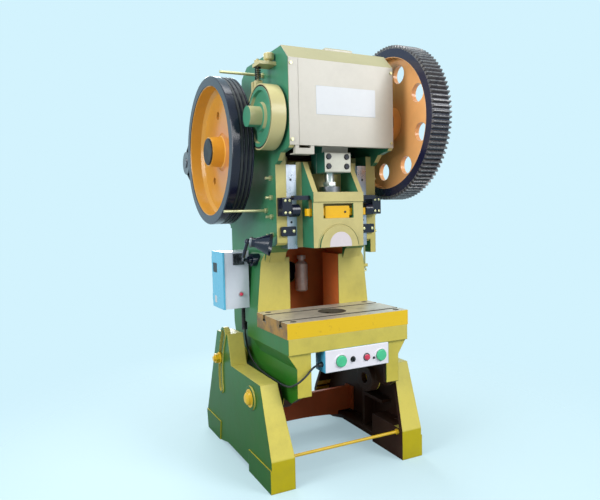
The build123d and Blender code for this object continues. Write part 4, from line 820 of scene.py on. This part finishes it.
class Workpiece:
    """Closed shapes in one mesh that become one fitting, with all their sizes in millimetres."""

    BLOCK_EDGE = 0.7
    BAR_EDGE = 1.2
    WIRE_SIDES = 8
    DISC_SIDES = 64
    COIL_STEPS = 20
    ARC_STEPS = 36
    JOIN_WITHIN = 1e-6

    def __init__(self) -> None:
        """Starts an empty mesh."""
        self.mesh = bmesh.new()

    def _settle(self, verts: Verts, way: Way | Vector, centre: Place, ahead: float = 0.0) -> None:
        """Turns new vertices from straight up and moves them to their place.

        Args:
            verts: The new vertices.
            way: Direction that their up becomes.
            centre: Their place.
            ahead: How far they are moved on from there in that direction.
        """
        direction = Vector(way.value) if isinstance(way, Way) else way
        turn = Vector((0, 0, 1)).rotation_difference(direction).to_matrix()
        bmesh.ops.rotate(self.mesh, cent=(0, 0, 0), matrix=turn, verts=verts)
        bmesh.ops.translate(self.mesh, vec=at(*centre) + direction * (ahead / PER_METRE), verts=verts)

    def _soften(self, verts: Verts, width: float, segments: int, angle: float) -> None:
        """Bevels the sharp edges between the given vertices.

        Args:
            verts: The vertices.
            width: Width of the bevel.
            segments: Its segments.
            angle: Angle in radians past which an edge is sharp.
        """
        inside = set(verts)
        edges = [edge for edge in self.mesh.edges
                 if edge.verts[0] in inside and edge.verts[1] in inside
                 and len(edge.link_faces) == 2 and edge.calc_face_angle(0.0) > angle]
        bmesh.ops.bevel(self.mesh, geom=edges, offset=width / PER_METRE, offset_type="OFFSET",
                        segments=segments, profile=0.5, affect="EDGES", material=-1)

    def _cone(self, sides: int, radius: float, depth: float) -> Verts:
        """Adds an upright round bar round the origin and gives its vertices."""
        size = radius / PER_METRE
        return bmesh.ops.create_cone(self.mesh, cap_ends=True, segments=sides, radius1=size,
                                     radius2=size, depth=depth / PER_METRE)["verts"]

    def _wire(self, radius: float) -> Verts:
        """Adds the round end of a wire at the origin and gives its vertices."""
        return bmesh.ops.create_circle(self.mesh, cap_ends=False, segments=self.WIRE_SIDES,
                                       radius=radius / PER_METRE)["verts"]

    def _draw(self, ring: Verts, centre: Place, axis: Place, angle: float, steps: int,
              rise: float = 0.0) -> None:
        """Draws the end of a wire round an axis and closes both ends.

        Args:
            ring: Vertices of the wire's end.
            centre: A point on the axis.
            axis: Direction of the axis.
            angle: How far round, in radians.
            steps: Number of steps.
            rise: How much each step climbs.
        """
        edges = list({edge for vert in ring for edge in vert.link_edges})
        bmesh.ops.spin(self.mesh, geom=ring + edges, cent=at(*centre), axis=axis, angle=angle, steps=steps,
                       dvec=(0, 0, rise / PER_METRE), use_merge=False)
        bmesh.ops.holes_fill(self.mesh, edges=self.mesh.edges[:], sides=0)

    def block(self, low: Place, high: Place, bevel: float = 0.0, segments: int = 2) -> Workpiece:
        """Adds a block between two corners.

        Args:
            low: The corner at the left, the front and the bottom.
            high: The corner across from it.
            bevel: Width of the bevel on its edges.
            segments: Segments of the bevel.

        Returns:
            The workpiece.
        """
        start, end = at(*low), at(*high)
        made = bmesh.ops.create_cube(self.mesh, size=1.0)["verts"]
        bmesh.ops.scale(self.mesh, vec=end - start, verts=made)
        bmesh.ops.translate(self.mesh, vec=(start + end) / 2, verts=made)
        if bevel > 0:
            self._soften(made, bevel, segments, self.BLOCK_EDGE)
        return self

    def bars(self, places: list[Place], way: Way, radius: float, depth: float, sides: int = 32,
             bevel: float = 0.0) -> Workpiece:
        """Adds equal round or six-sided bars that all run one way.

        Args:
            places: Middle of the end that each starts from.
            way: Direction that they run in.
            radius: Their radius, to the corners where they have six sides.
            depth: Their length.
            sides: Number of sides.
            bevel: Width of the bevel at their ends.

        Returns:
            The workpiece.
        """
        for place in places:
            made = self._cone(sides, radius, depth)
            self._settle(made, way, place, depth / 2)
            if bevel > 0:
                self._soften(made, bevel, 2, self.BAR_EDGE)
        return self

    def turned(self, centre: Place, way: Way | Vector, profile: Profile, steps: int = 40,
               loop: bool = False) -> Workpiece:
        """Adds a turned shape.

        Args:
            centre: Where the profile's 0 lies on its axis.
            way: Direction of the axis.
            profile: Distance along the axis and radius at each corner.
            steps: Number of steps round.
            loop: Whether the profile closes on itself, as a ring's does.

        Returns:
            The workpiece.
        """
        before = set(self.mesh.verts)
        line = [self.mesh.verts.new((radius / PER_METRE, 0.0, along / PER_METRE))
                for along, radius in profile]
        pairs = list(zip(line, line[1:])) + ([(line[-1], line[0])] if loop else [])
        edges = [self.mesh.edges.new(pair) for pair in pairs]
        bmesh.ops.spin(self.mesh, geom=line + edges, cent=(0, 0, 0), axis=(0, 0, 1), dvec=(0, 0, 0),
                       angle=2 * math.pi, steps=steps, use_merge=True)
        fresh = [vert for vert in self.mesh.verts if vert not in before]
        bmesh.ops.remove_doubles(self.mesh, verts=fresh, dist=self.JOIN_WITHIN)
        self._settle([vert for vert in self.mesh.verts if vert not in before], way, centre)
        return self

    def coil(self, foot: Place, radius: float, wire: float, height: float, turns: int) -> Workpiece:
        """Adds an upright coil of round wire.

        Args:
            foot: Middle of the coil at its bottom.
            radius: Its radius.
            wire: The wire's own radius.
            height: Its height over all.
            turns: Number of turns.

        Returns:
            The workpiece.
        """
        x, y, z = foot
        steps = turns * self.COIL_STEPS
        ring = self._wire(wire)
        self._settle(ring, Way.FRONT, (x + radius, y, z + wire))
        self._draw(ring, foot, Way.UP.value, 2 * math.pi * turns, steps, (height - 2 * wire) / steps)
        return self

    def half_disc(self, centre: Place, radius: float, depth: float) -> Workpiece:
        """Adds a thin half-round plate that faces the front, flat side down.

        Args:
            centre: Middle of its flat side.
            radius: Its radius.
            depth: Its thickness.

        Returns:
            The workpiece.
        """
        made = self._cone(self.DISC_SIDES, radius, depth)
        self._settle(made, Way.FRONT, centre)
        geometry = made + [edge for edge in self.mesh.edges if edge.verts[0] in made]
        geometry += list({face for vert in made for face in vert.link_faces})
        cut = bmesh.ops.bisect_plane(self.mesh, geom=geometry, plane_co=at(*centre), plane_no=(0, 0, -1),
                                     clear_outer=True)
        rim = [item for item in cut["geom_cut"] if isinstance(item, bmesh.types.BMEdge)]
        bmesh.ops.holes_fill(self.mesh, edges=rim, sides=0)
        return self

    def arc(self, centre: Place, radius: float, wire: float, start: float, end: float) -> Workpiece:
        """Adds a raised bead along an arc on a front face.

        Args:
            centre: Middle of the arc.
            radius: Its radius.
            wire: Half the bead's width.
            start: Angle it starts at, in degrees up from the right.
            end: Angle it ends at.

        Returns:
            The workpiece.
        """
        ring = self._wire(wire)
        self._settle(ring, Way.UP, (centre[0] + radius, *centre[1:]))
        first = Matrix.Rotation(-math.radians(start), 3, "Y")
        bmesh.ops.rotate(self.mesh, cent=at(*centre), matrix=first, verts=ring)
        self._draw(ring, centre, Way.FRONT.value, math.radians(end - start), self.ARC_STEPS)
        return self

    def ride(self, name: str, finish: bpy.types.Material, body: str,
             replaces: tuple[str, ...]) -> None:
        """Finishes the mesh as a piece that moves with a body.

        Args:
            name: The piece's name.
            finish: Its material.
            body: The body that it moves with.
            replaces: Nodes that it stands for.
        """
        bmesh.ops.recalc_face_normals(self.mesh, faces=self.mesh.faces[:])
        for face in self.mesh.faces:
            face.smooth = True
        data = bpy.data.meshes.new(name)
        self.mesh.to_mesh(data)
        self.mesh.free()
        data.set_sharp_from_angle(angle=SHARP_ANGLE)
        data.materials.append(finish)
        piece = link(name, data)
        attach(piece, body)
        if replaces:
            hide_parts(*replaces)
        log.info("piece %s on %s: %d faces", name, body, len(data.polygons))


@dataclass
class Fittings:
    """Fittings that take their finishes from one paintwork."""

    paint: Paintwork

    def fit(self, work: Workpiece, name: str, finish: str, slot: str, body: str = "frame",
            replaces: tuple[str, ...] = ()) -> None:
        """Finishes a workpiece as a piece."""
        work.ride(name, self.paint.kinds[finish], body, replaces)


@dataclass
class HeadFittings(Fittings):
    """Bare plate on the head cover and the lid's screws."""

    plate_low: Place = (-152, -155.2, 1802)
    plate_high: Place = (186, -153.9, 1938)
    lid_middle: Pair = (40, 30)
    lid_top: float = 2149
    screw_reach: Pair = (-62, 62)

    def build(self) -> None:
        """Adds the head's fittings."""
        plate = Workpiece().block(self.plate_low, self.plate_high, 0.5, 1)
        self.fit(plate, "cover_plate", "plate_white", "panel_white")
        x, y = self.lid_middle
        places = [(x + dx, y + dy, self.lid_top) for dx in self.screw_reach for dy in self.screw_reach]
        self.fit(Workpiece().bars(places, Way.UP, 6, 4.5, 6, 0.6), "lid_screws", "zinc", "bolt_zinc")


@dataclass
class BrakeFittings(Fittings):
    """Brake spring as a real coil between its washers."""

    bolt: Pair = (-364, 50)
    spring_z: Pair = (1984, 2050)
    spring: Pair = (13.5, 2.6)
    turns: int = 6
    washer: float = 3
    washer_radius: float = 16.5

    def build(self) -> None:
        """Adds the brake's fittings."""
        low, high = self.spring_z
        height = high - low - 2 * self.washer
        coil = Workpiece().coil((*self.bolt, low + self.washer), *self.spring, height, self.turns)
        ends = [(*self.bolt, z) for z in (low, high - self.washer)]
        coil.bars(ends, Way.UP, self.washer_radius, self.washer, 32, 0.5)
        self.fit(coil, "brake_coil", "dark_bolt", "bolt_black", replaces=("brake_spring",))


@dataclass
class RamFittings(Fittings):
    """Plate, bead and screws on the slide, the gibs and the knock-out stops."""

    slide_front: float = -90
    clamp_front: float = -98
    guide_front: float = 20
    stop_front: float = -42
    keeper_front: float = 4
    bar_front: float = -77.6
    plate_middle: Pair = (6, 1168)
    plate_radius: float = 64
    plate_foot: float = 1157
    bead_middle: Pair = (0, 1155)
    bead_radius: float = 118
    stop_x: float = 264
    stop_reach: Pair = (-12, 12)
    stop_z: Pair = (1333, 1393)
    keeper_x: float = 236
    keeper_reach: Pair = (-26, 26)
    keeper_z: float = 1240
    rivet: Pair = (45, 1332)
    pin_x: float = 214
    pin_z: Place = (1285, 1405, 1500)

    def build(self) -> None:
        """Adds the ram's fittings."""
        front, (x, z), radius = self.clamp_front, self.plate_middle, self.plate_radius
        plate = Workpiece().half_disc((x, front - 0.4, z), radius, 1.2)
        plate.block((x - radius, front - 1.0, self.plate_foot), (x + radius, front + 0.2, z))
        self.fit(plate, "clamp_plate", "plate_lilac", "panel_white", "ram")
        x, z = self.bead_middle
        bead = Workpiece().arc((x, self.slide_front, z), self.bead_radius, 2.2, 3, 177)
        self.fit(bead, "clamp_bead", "slide_paint", "body_green", "ram")
        screws = Workpiece()
        for side in SIDES:
            stops = [(side * self.stop_x + dx, self.stop_front, z)
                     for dx in self.stop_reach for z in self.stop_z]
            keepers = [(side * self.keeper_x + dx, self.keeper_front, self.keeper_z)
                       for dx in self.keeper_reach]
            screws.bars(stops, Way.FRONT, 6.5, 4.5, 24, 0.8).bars(keepers, Way.FRONT, 7.5, 5, 24, 0.8)
        self.fit(screws, "stop_screws", "zinc", "bolt_zinc")
        pins = [(side * self.pin_x, self.guide_front + 0.2, z) for side in SIDES for z in self.pin_z]
        self.fit(Workpiece().bars(pins, Way.FRONT, 6, 1.6, 20, 0.4), "gib_pins", "dark_bolt", "bolt_black")
        x, z = self.rivet
        rivet = Workpiece().bars([(x, self.bar_front, z)], Way.FRONT, 6, 2, 24, 0.6)
        self.fit(rivet, "bar_pin", "dark_bolt", "bolt_black", "knockout")


@dataclass
class DriveFittings(Fittings):
    """Screws of the shaft's bearings and of the motor, and the motor's grille."""

    shaft: Pair = (447.13, 1676.0)
    flange_x: float = 333.8
    flange_circle: float = 64
    motor: Pair = (1035, 1665)
    grille_x: float = 150.2
    grille_radii: tuple[float, ...] = (30, 50, 70, 88)
    spoke_circle: float = 59
    feet_x: Pair = (-165, 45)
    feet_reach: Pair = (-95, 95)
    feet_top: float = 1556

    def build(self) -> None:
        """Adds the drive's fittings."""
        y, z = self.shaft
        heads = Workpiece()
        for side, way in zip(SIDES, (Way.LEFT, Way.RIGHT)):
            places = [(side * self.flange_x, y + dy, z + dz)
                      for dy, dz in spaced(6, self.flange_circle, 30)]
            heads.bars(places, way, 8.5, 6, 6, 0.8)
        self.fit(heads, "bearing_screws", "dark_bolt", "bolt_black")
        y, z = self.motor
        grille = Workpiece()
        for radius in self.grille_radii:
            profile = ((0, radius - 2.2), (2.5, radius - 1.2), (2.5, radius + 1.2), (0, radius + 2.2))
            grille.turned((self.grille_x, y, z), Way.RIGHT, profile, 48, True)
        spokes = [(self.grille_x, y + dy, z + dz) for dy, dz in spaced(6, self.spoke_circle)]
        self.fit(grille.bars(spokes, Way.RIGHT, 4, 2.5, 12), "motor_grille", "dark_bolt", "bolt_black")
        feet = [(x, y + dy, self.feet_top) for x in self.feet_x for dy in self.feet_reach]
        self.fit(Workpiece().bars(feet, Way.UP, 13, 9, 6, 1), "motor_bolts", "zinc", "bolt_zinc")


@dataclass
class BoxFittings(Fittings):
    """Window, plates and button collar of the electric box."""

    window: Box = ((-492.1, 400, 1014), (-491.0, 466, 1066))
    plate: Box = ((-492.7, 412, 846), (-491.8, 448, 884))
    front_y: float = 300
    isolator: Pair = (-403, 1090)
    isolator_steps: tuple[tuple[float, float, float, float, int], ...] = (
        (31, 7.8, 6.8, 0.4, 1), (31.2, 7.2, 0.2, 1, 2))
    button: Pair = (-393, 899)
    button_ring: Profile = ((-0.2, 11.2), (-0.2, 15.5), (2.2, 14.8), (3, 13.4), (3, 11.2))

    def build(self) -> None:
        """Adds the box's fittings."""
        front = self.front_y
        window = Workpiece().block(*self.window, 0.3, 1)
        self.fit(window, "door_window", "smoked", "black_plastic", "door")
        plate = Workpiece().block(*self.plate, 0.2, 1)
        self.fit(plate, "door_plate", "plate_white", "panel_white", "door")
        x, z = self.isolator
        collar = Workpiece()
        for half, near, far, bevel, segments in self.isolator_steps:
            low, high = (x - half, front - near, z - half), (x + half, front - far, z + half)
            collar.block(low, high, bevel, segments)
        self.fit(collar, "isolator_plate", "black_plastic", "black_plastic")
        x, z = self.button
        ring = Workpiece().turned((x, front, z), Way.FRONT, self.button_ring, 40, True)
        self.fit(ring, "box_button_ring", "plate_white", "panel_white")


@dataclass
class ControlFittings(Fittings):
    """End plates, top plate and button collars of the two-hand control box."""

    ends: Pair = (-150, 219)
    depth: Pair = (-195, -95)
    height: Pair = (547, 657)
    end_plate: float = 2.5
    palm_x: Pair = (-64, 172)
    stop_x: float = 87
    selector_x: float = 6
    lamp_x: float = 130
    button_z: float = 598
    palm_ring: Profile = ((-0.2, 21.2), (-0.2, 34.5), (3.5, 33.5), (4.5, 31.8), (0.8, 30.6), (0.8, 21.2))
    stop_ring: Profile = ((-0.2, 16.2), (-0.2, 20.2), (2.2, 19.6), (2.2, 16.2))
    selector_ring: Profile = ((-0.2, 11.5), (-0.2, 15.0), (1.8, 14.3), (1.8, 11.5))

    def build(self) -> None:
        """Adds the control box's fittings."""
        (left, right), (front, back), (low, high) = self.ends, self.depth, self.height
        ends = Workpiece()
        for x in (left - self.end_plate, right):
            ends.block((x, front + 1, low + 1), (x + self.end_plate, back - 1, high - 1), 1)
        ends.block((left + 3, front + 3, high - 0.2), (right - 3, back - 3, high + 1.2), 0.5, 1)
        self.fit(ends, "control_ends", "panel_blue", "door_blue")
        collars = Workpiece()
        for x in self.palm_x:
            collars.turned((x, front, self.button_z), Way.FRONT, self.palm_ring, 48, True)
        self.fit(collars, "palm_collars", "panel_white", "panel_white")
        small = Workpiece()
        for x, profile in ((self.stop_x, self.stop_ring), (self.selector_x, self.selector_ring)):
            small.turned((x, front, self.button_z), Way.FRONT, profile, 40, True)
        small.bars([(self.lamp_x, front, self.button_z - 10)], Way.FRONT, 6.5, 3, 24, 0.6)
        self.fit(small, "control_rings", "black_plastic", "black_plastic")


@dataclass
class LampFittings(Fittings):
    """Bulb of the work lamp and the collar that it sits in."""

    head: Place = (-440, 60, 1195)
    aim: Place = (0.80, -0.52, -0.14)
    bulb_from: float = 45
    bulb: Profile = ((0, 0), (0, 12), (12, 13), (24, 22), (36, 27), (48, 25.5), (57, 18), (62, 8), (63, 0))
    collar_from: float = 13
    collar: Profile = ((0, 23.5), (0, 26.2), (6, 27.2), (12, 26.2), (12, 23.5))

    def build(self) -> None:
        """Adds the lamp's fittings."""
        way = Vector(self.aim).normalized()
        place = tuple(Vector(self.head) + way * self.bulb_from)
        bulb = Workpiece().turned(place, way, self.bulb)
        self.fit(bulb, "lamp_bulb", "bulb", "panel_white", "lamp_head")
        place = tuple(Vector(self.head) + way * self.collar_from)
        collar = Workpiece().turned(place, way, self.collar, loop=True)
        self.fit(collar, "lamp_collar", "turned_steel", "steel_dark", "lamp_head")


@dataclass
class LegFittings(Fittings):
    """Washers at the tilt pivots."""

    pivot: Place = (450, 68, 399)
    washer: Profile = ((0.3, 36.5), (0.3, 47), (3, 46), (3, 36.5))

    def build(self) -> None:
        """Adds the legs' fittings."""
        x, y, z = self.pivot
        washers = Workpiece()
        for side, way in zip(SIDES, (Way.LEFT, Way.RIGHT)):
            washers.turned((side * x, y, z), way, self.washer, 48, True)
        self.fit(washers, "pivot_washers", "yellow_paint", "yellow")


@dataclass
class BayFittings(Fittings):
    """Inspection cover over the round hole in the back wall."""

    hole: Pair = (0, 973)
    wall_rear: float = 544
    cover: Profile = ((0, 0), (0, 78), (2, 79), (3.2, 77), (3.2, 52), (6, 47), (6, 0))
    screw_circle: float = 65

    def build(self) -> None:
        """Adds the cover with its screws."""
        x, z = self.hole
        rear = self.wall_rear
        cover = Workpiece().turned((x, rear, z), Way.BACK, self.cover, 56)
        self.fit(cover, "bay_cover", "navy_paint", "lamp_black")
        places = [(x + dx, rear + 3, z + dz) for dx, dz in spaced(4, self.screw_circle, 45)]
        screws = Workpiece().bars(places, Way.BACK, 6, 4.5, 6, 0.6)
        self.fit(screws, "bay_cover_screws", "zinc", "bolt_zinc")


@dataclass
class CableRun(Fittings):
    """Cable from the two-hand box round the frame to the duct under the electric box."""

    diameter: float = 0.010
    length: float = 1.04
    route: tuple[Place, ...] = (
        (-176, -165, 586), (-202, -174, 584), (-230, -193, 575), (-264, -209, 556), (-298, -209, 532),
        (-320, -182, 508), (-325, -135, 492), (-324, -60, 483), (-325, 30, 484), (-324, 125, 484),
        (-323, 225, 488), (-323, 325, 511), (-323, 403, 563), (-322, 443, 640), (-322, 449, 724),
        (-322, 450, 806),
    )
    sleeve_foot: Place = (-322, 449.5, 672)
    sleeve_height: float = 148
    sleeve_radii: Place = (6.2, 13.8, 16.5)
    sleeve_ribs: int = 16
    rib_pitch: float = 9

    def cord(self) -> None:
        """Adds the cable as one smooth cord."""
        curve = bpy.data.curves.new("control_cable", "CURVE")
        curve.dimensions = "3D"
        curve.bevel_depth = self.diameter / 2
        curve.bevel_resolution = 4
        curve.resolution_u = 12
        curve.use_fill_caps = True
        line = curve.splines.new("NURBS")
        line.points.add(len(self.route) - 1)
        for point, place in zip(line.points, self.route):
            point.co = (*at(*place), 1.0)
        line.order_u = 3
        line.use_endpoint_u = True
        curve.materials.append(self.paint.kinds["black_rubber"])
        piece = link("control_cable", curve)
        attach(piece, "frame")
        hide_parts("cable")
        log.info("cable laid along %d points", len(self.route))

    def build(self) -> None:
        """Adds the cable and its ribbed sleeve."""
        self.cord()
        bore, groove, rib = self.sleeve_radii
        profile = [(0, bore), (0, rib)]
        for start in (index * self.rib_pitch for index in range(self.sleeve_ribs)):
            profile += [(2 + start, rib), (6.5 + start, groove)]
        profile += [(self.sleeve_height, rib), (self.sleeve_height, bore)]
        sleeve = Workpiece().turned(self.sleeve_foot, Way.UP, tuple(profile), 32, True)
        self.fit(sleeve, "cable_sleeve", "black_rubber", "black_rubber")


@dataclass
class Studio:
    """Camera, lights, world and pale floor."""

    eye: Place = (-1.453, -2.9325, 1.3394)
    ahead: Place = (0.4445, 0.8932, -0.0685)
    right: Place = (0.8943, -0.4469, -0.0225)
    lens: float = 33.786
    sensor: float = 36.0
    farthest: float = 60.0
    backdrop: Rgb = (211, 243, 254)
    sky: tuple[float, ...] = (0.9, 0.95, 1.0, 1.0)
    sky_strength: float = 0.42
    floor_colour: tuple[float, ...] = (0.38, 0.49, 0.52, 1.0)
    floor_glow: float = 0.38
    floor_fade: Pair = (0.9, 2.4)
    floor_radius: float = 6.0
    floor_drop: float = 0.0006
    lights: tuple[tuple[str, Place, Place, float, float], ...] = (
        ("key", (2.2, -4.2, 3.4), (0.0, -0.2, 1.1), 2.6, 165.0),
        ("fill", (-4.2, -1.4, 2.6), (0.0, 0.0, 1.1), 2.6, 120.0),
        ("top", (-0.6, 0.2, 4.6), (0.0, 0.0, 1.0), 2.4, 80.0),
        ("back", (1.0, 4.4, 2.8), (0.0, 0.0, 1.1), 2.8, 120.0),
    )

    def camera(self) -> None:
        """Adds the camera at the photograph's angle."""
        data = bpy.data.cameras.new("camera")
        data.sensor_fit = "HORIZONTAL"
        data.sensor_width = self.sensor
        data.lens = self.lens
        data.clip_end = self.farthest
        ahead = Vector(self.ahead).normalized()
        right = (Vector(self.right) - ahead * Vector(self.right).dot(ahead)).normalized()
        turn = Matrix((right, right.cross(ahead), -ahead)).transposed()
        camera = link("camera", data)
        camera.matrix_world = Matrix.Translation(self.eye) @ turn.to_4x4()
        bpy.context.scene.camera = camera

    def light(self, name: str, place: Place, target: Place, size: float, power: float) -> None:
        """Adds one large soft white light.

        Args:
            name: The light's name.
            place: Where it stands.
            target: What it points at.
            size: Its diameter.
            power: Its power in watts.
        """
        data = bpy.data.lights.new(name, "AREA")
        data.shape = "DISK"
        data.size = size
        data.energy = power
        light = link(name, data)
        light.location = place
        light.rotation_euler = (Vector(target) - Vector(place)).to_track_quat("-Z", "Y").to_euler()

    def world(self) -> None:
        """Makes the world: pale to the camera and to reflections, soft white light otherwise."""
        world = bpy.data.worlds.new("studio")
        world.use_nodes = True
        bpy.context.scene.world = world
        w = Wiring(world.node_tree)
        rays = w.node("ShaderNodeLightPath").outputs
        seen = w.maths("MAXIMUM", rays["Is Camera Ray"], rays["Is Transmission Ray"])
        seen = w.maths("MAXIMUM", seen, rays["Is Glossy Ray"])
        w.fill(world.node_tree.nodes["Background"], Color=w.mix(seen, self.sky, linear(self.backdrop)),
               Strength=w.spread(seen, 0.0, 1.0, self.sky_strength))

    def floor(self) -> None:
        """Adds a plain pale floor that fades into the backdrop."""
        mesh = bmesh.new()
        bmesh.ops.create_circle(mesh, cap_ends=True, segments=96, radius=self.floor_radius)
        bmesh.ops.translate(mesh, vec=(0, 0, -self.floor_drop), verts=mesh.verts[:])
        data = bpy.data.meshes.new("floor")
        mesh.to_mesh(data)
        mesh.free()
        material = bpy.data.materials.new("floor")
        material.use_nodes = True
        tree = material.node_tree
        tree.nodes.remove(tree.nodes["Principled BSDF"])
        w = Wiring(tree)
        matt = w.result("ShaderNodeBsdfDiffuse", {"Color": self.floor_colour})
        camera_ray = w.node("ShaderNodeLightPath").outputs["Is Camera Ray"]
        glow = w.result("ShaderNodeEmission", {"Color": linear(self.backdrop),
                                               "Strength": w.maths("MULTIPLY", camera_ray, self.floor_glow)})
        both = w.result("ShaderNodeAddShader", {0: matt, 1: glow})
        clear = w.result("ShaderNodeBsdfTransparent", {})
        x, y, _ = w.split(w.place())
        far = w.spread(w.length(x, y), *self.floor_fade)
        fade = w.result("ShaderNodeMixShader", {0: far, 1: both, 2: clear})
        w.fill(tree.nodes["Material Output"], Surface=fade)
        data.materials.append(material)
        link("floor", data)

    def build(self) -> None:
        """Sets up the whole studio."""
        self.camera()
        for row in self.lights:
            self.light(*row)
        self.world()
        self.floor()
        bpy.context.scene.view_settings.view_transform = "Standard"
        log.info("studio ready")


def main() -> None:
    """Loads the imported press, dresses it, adds its fittings and sets the studio."""
    logging.basicConfig(level=logging.INFO, format="%(name)s: %(message)s")
    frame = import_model()
    Studio().build()
    paint = Paintwork(Effects())
    CableRun(paint).build()
    paint.dress(frame["nodes"])
    for assembly in (HeadFittings, BrakeFittings, RamFittings, DriveFittings, BoxFittings, ControlFittings,
                     LampFittings, LegFittings, BayFittings):
        assembly(paint).build()
        log.info("%s done", assembly.__name__)


if __name__ == "__main__":
    main()
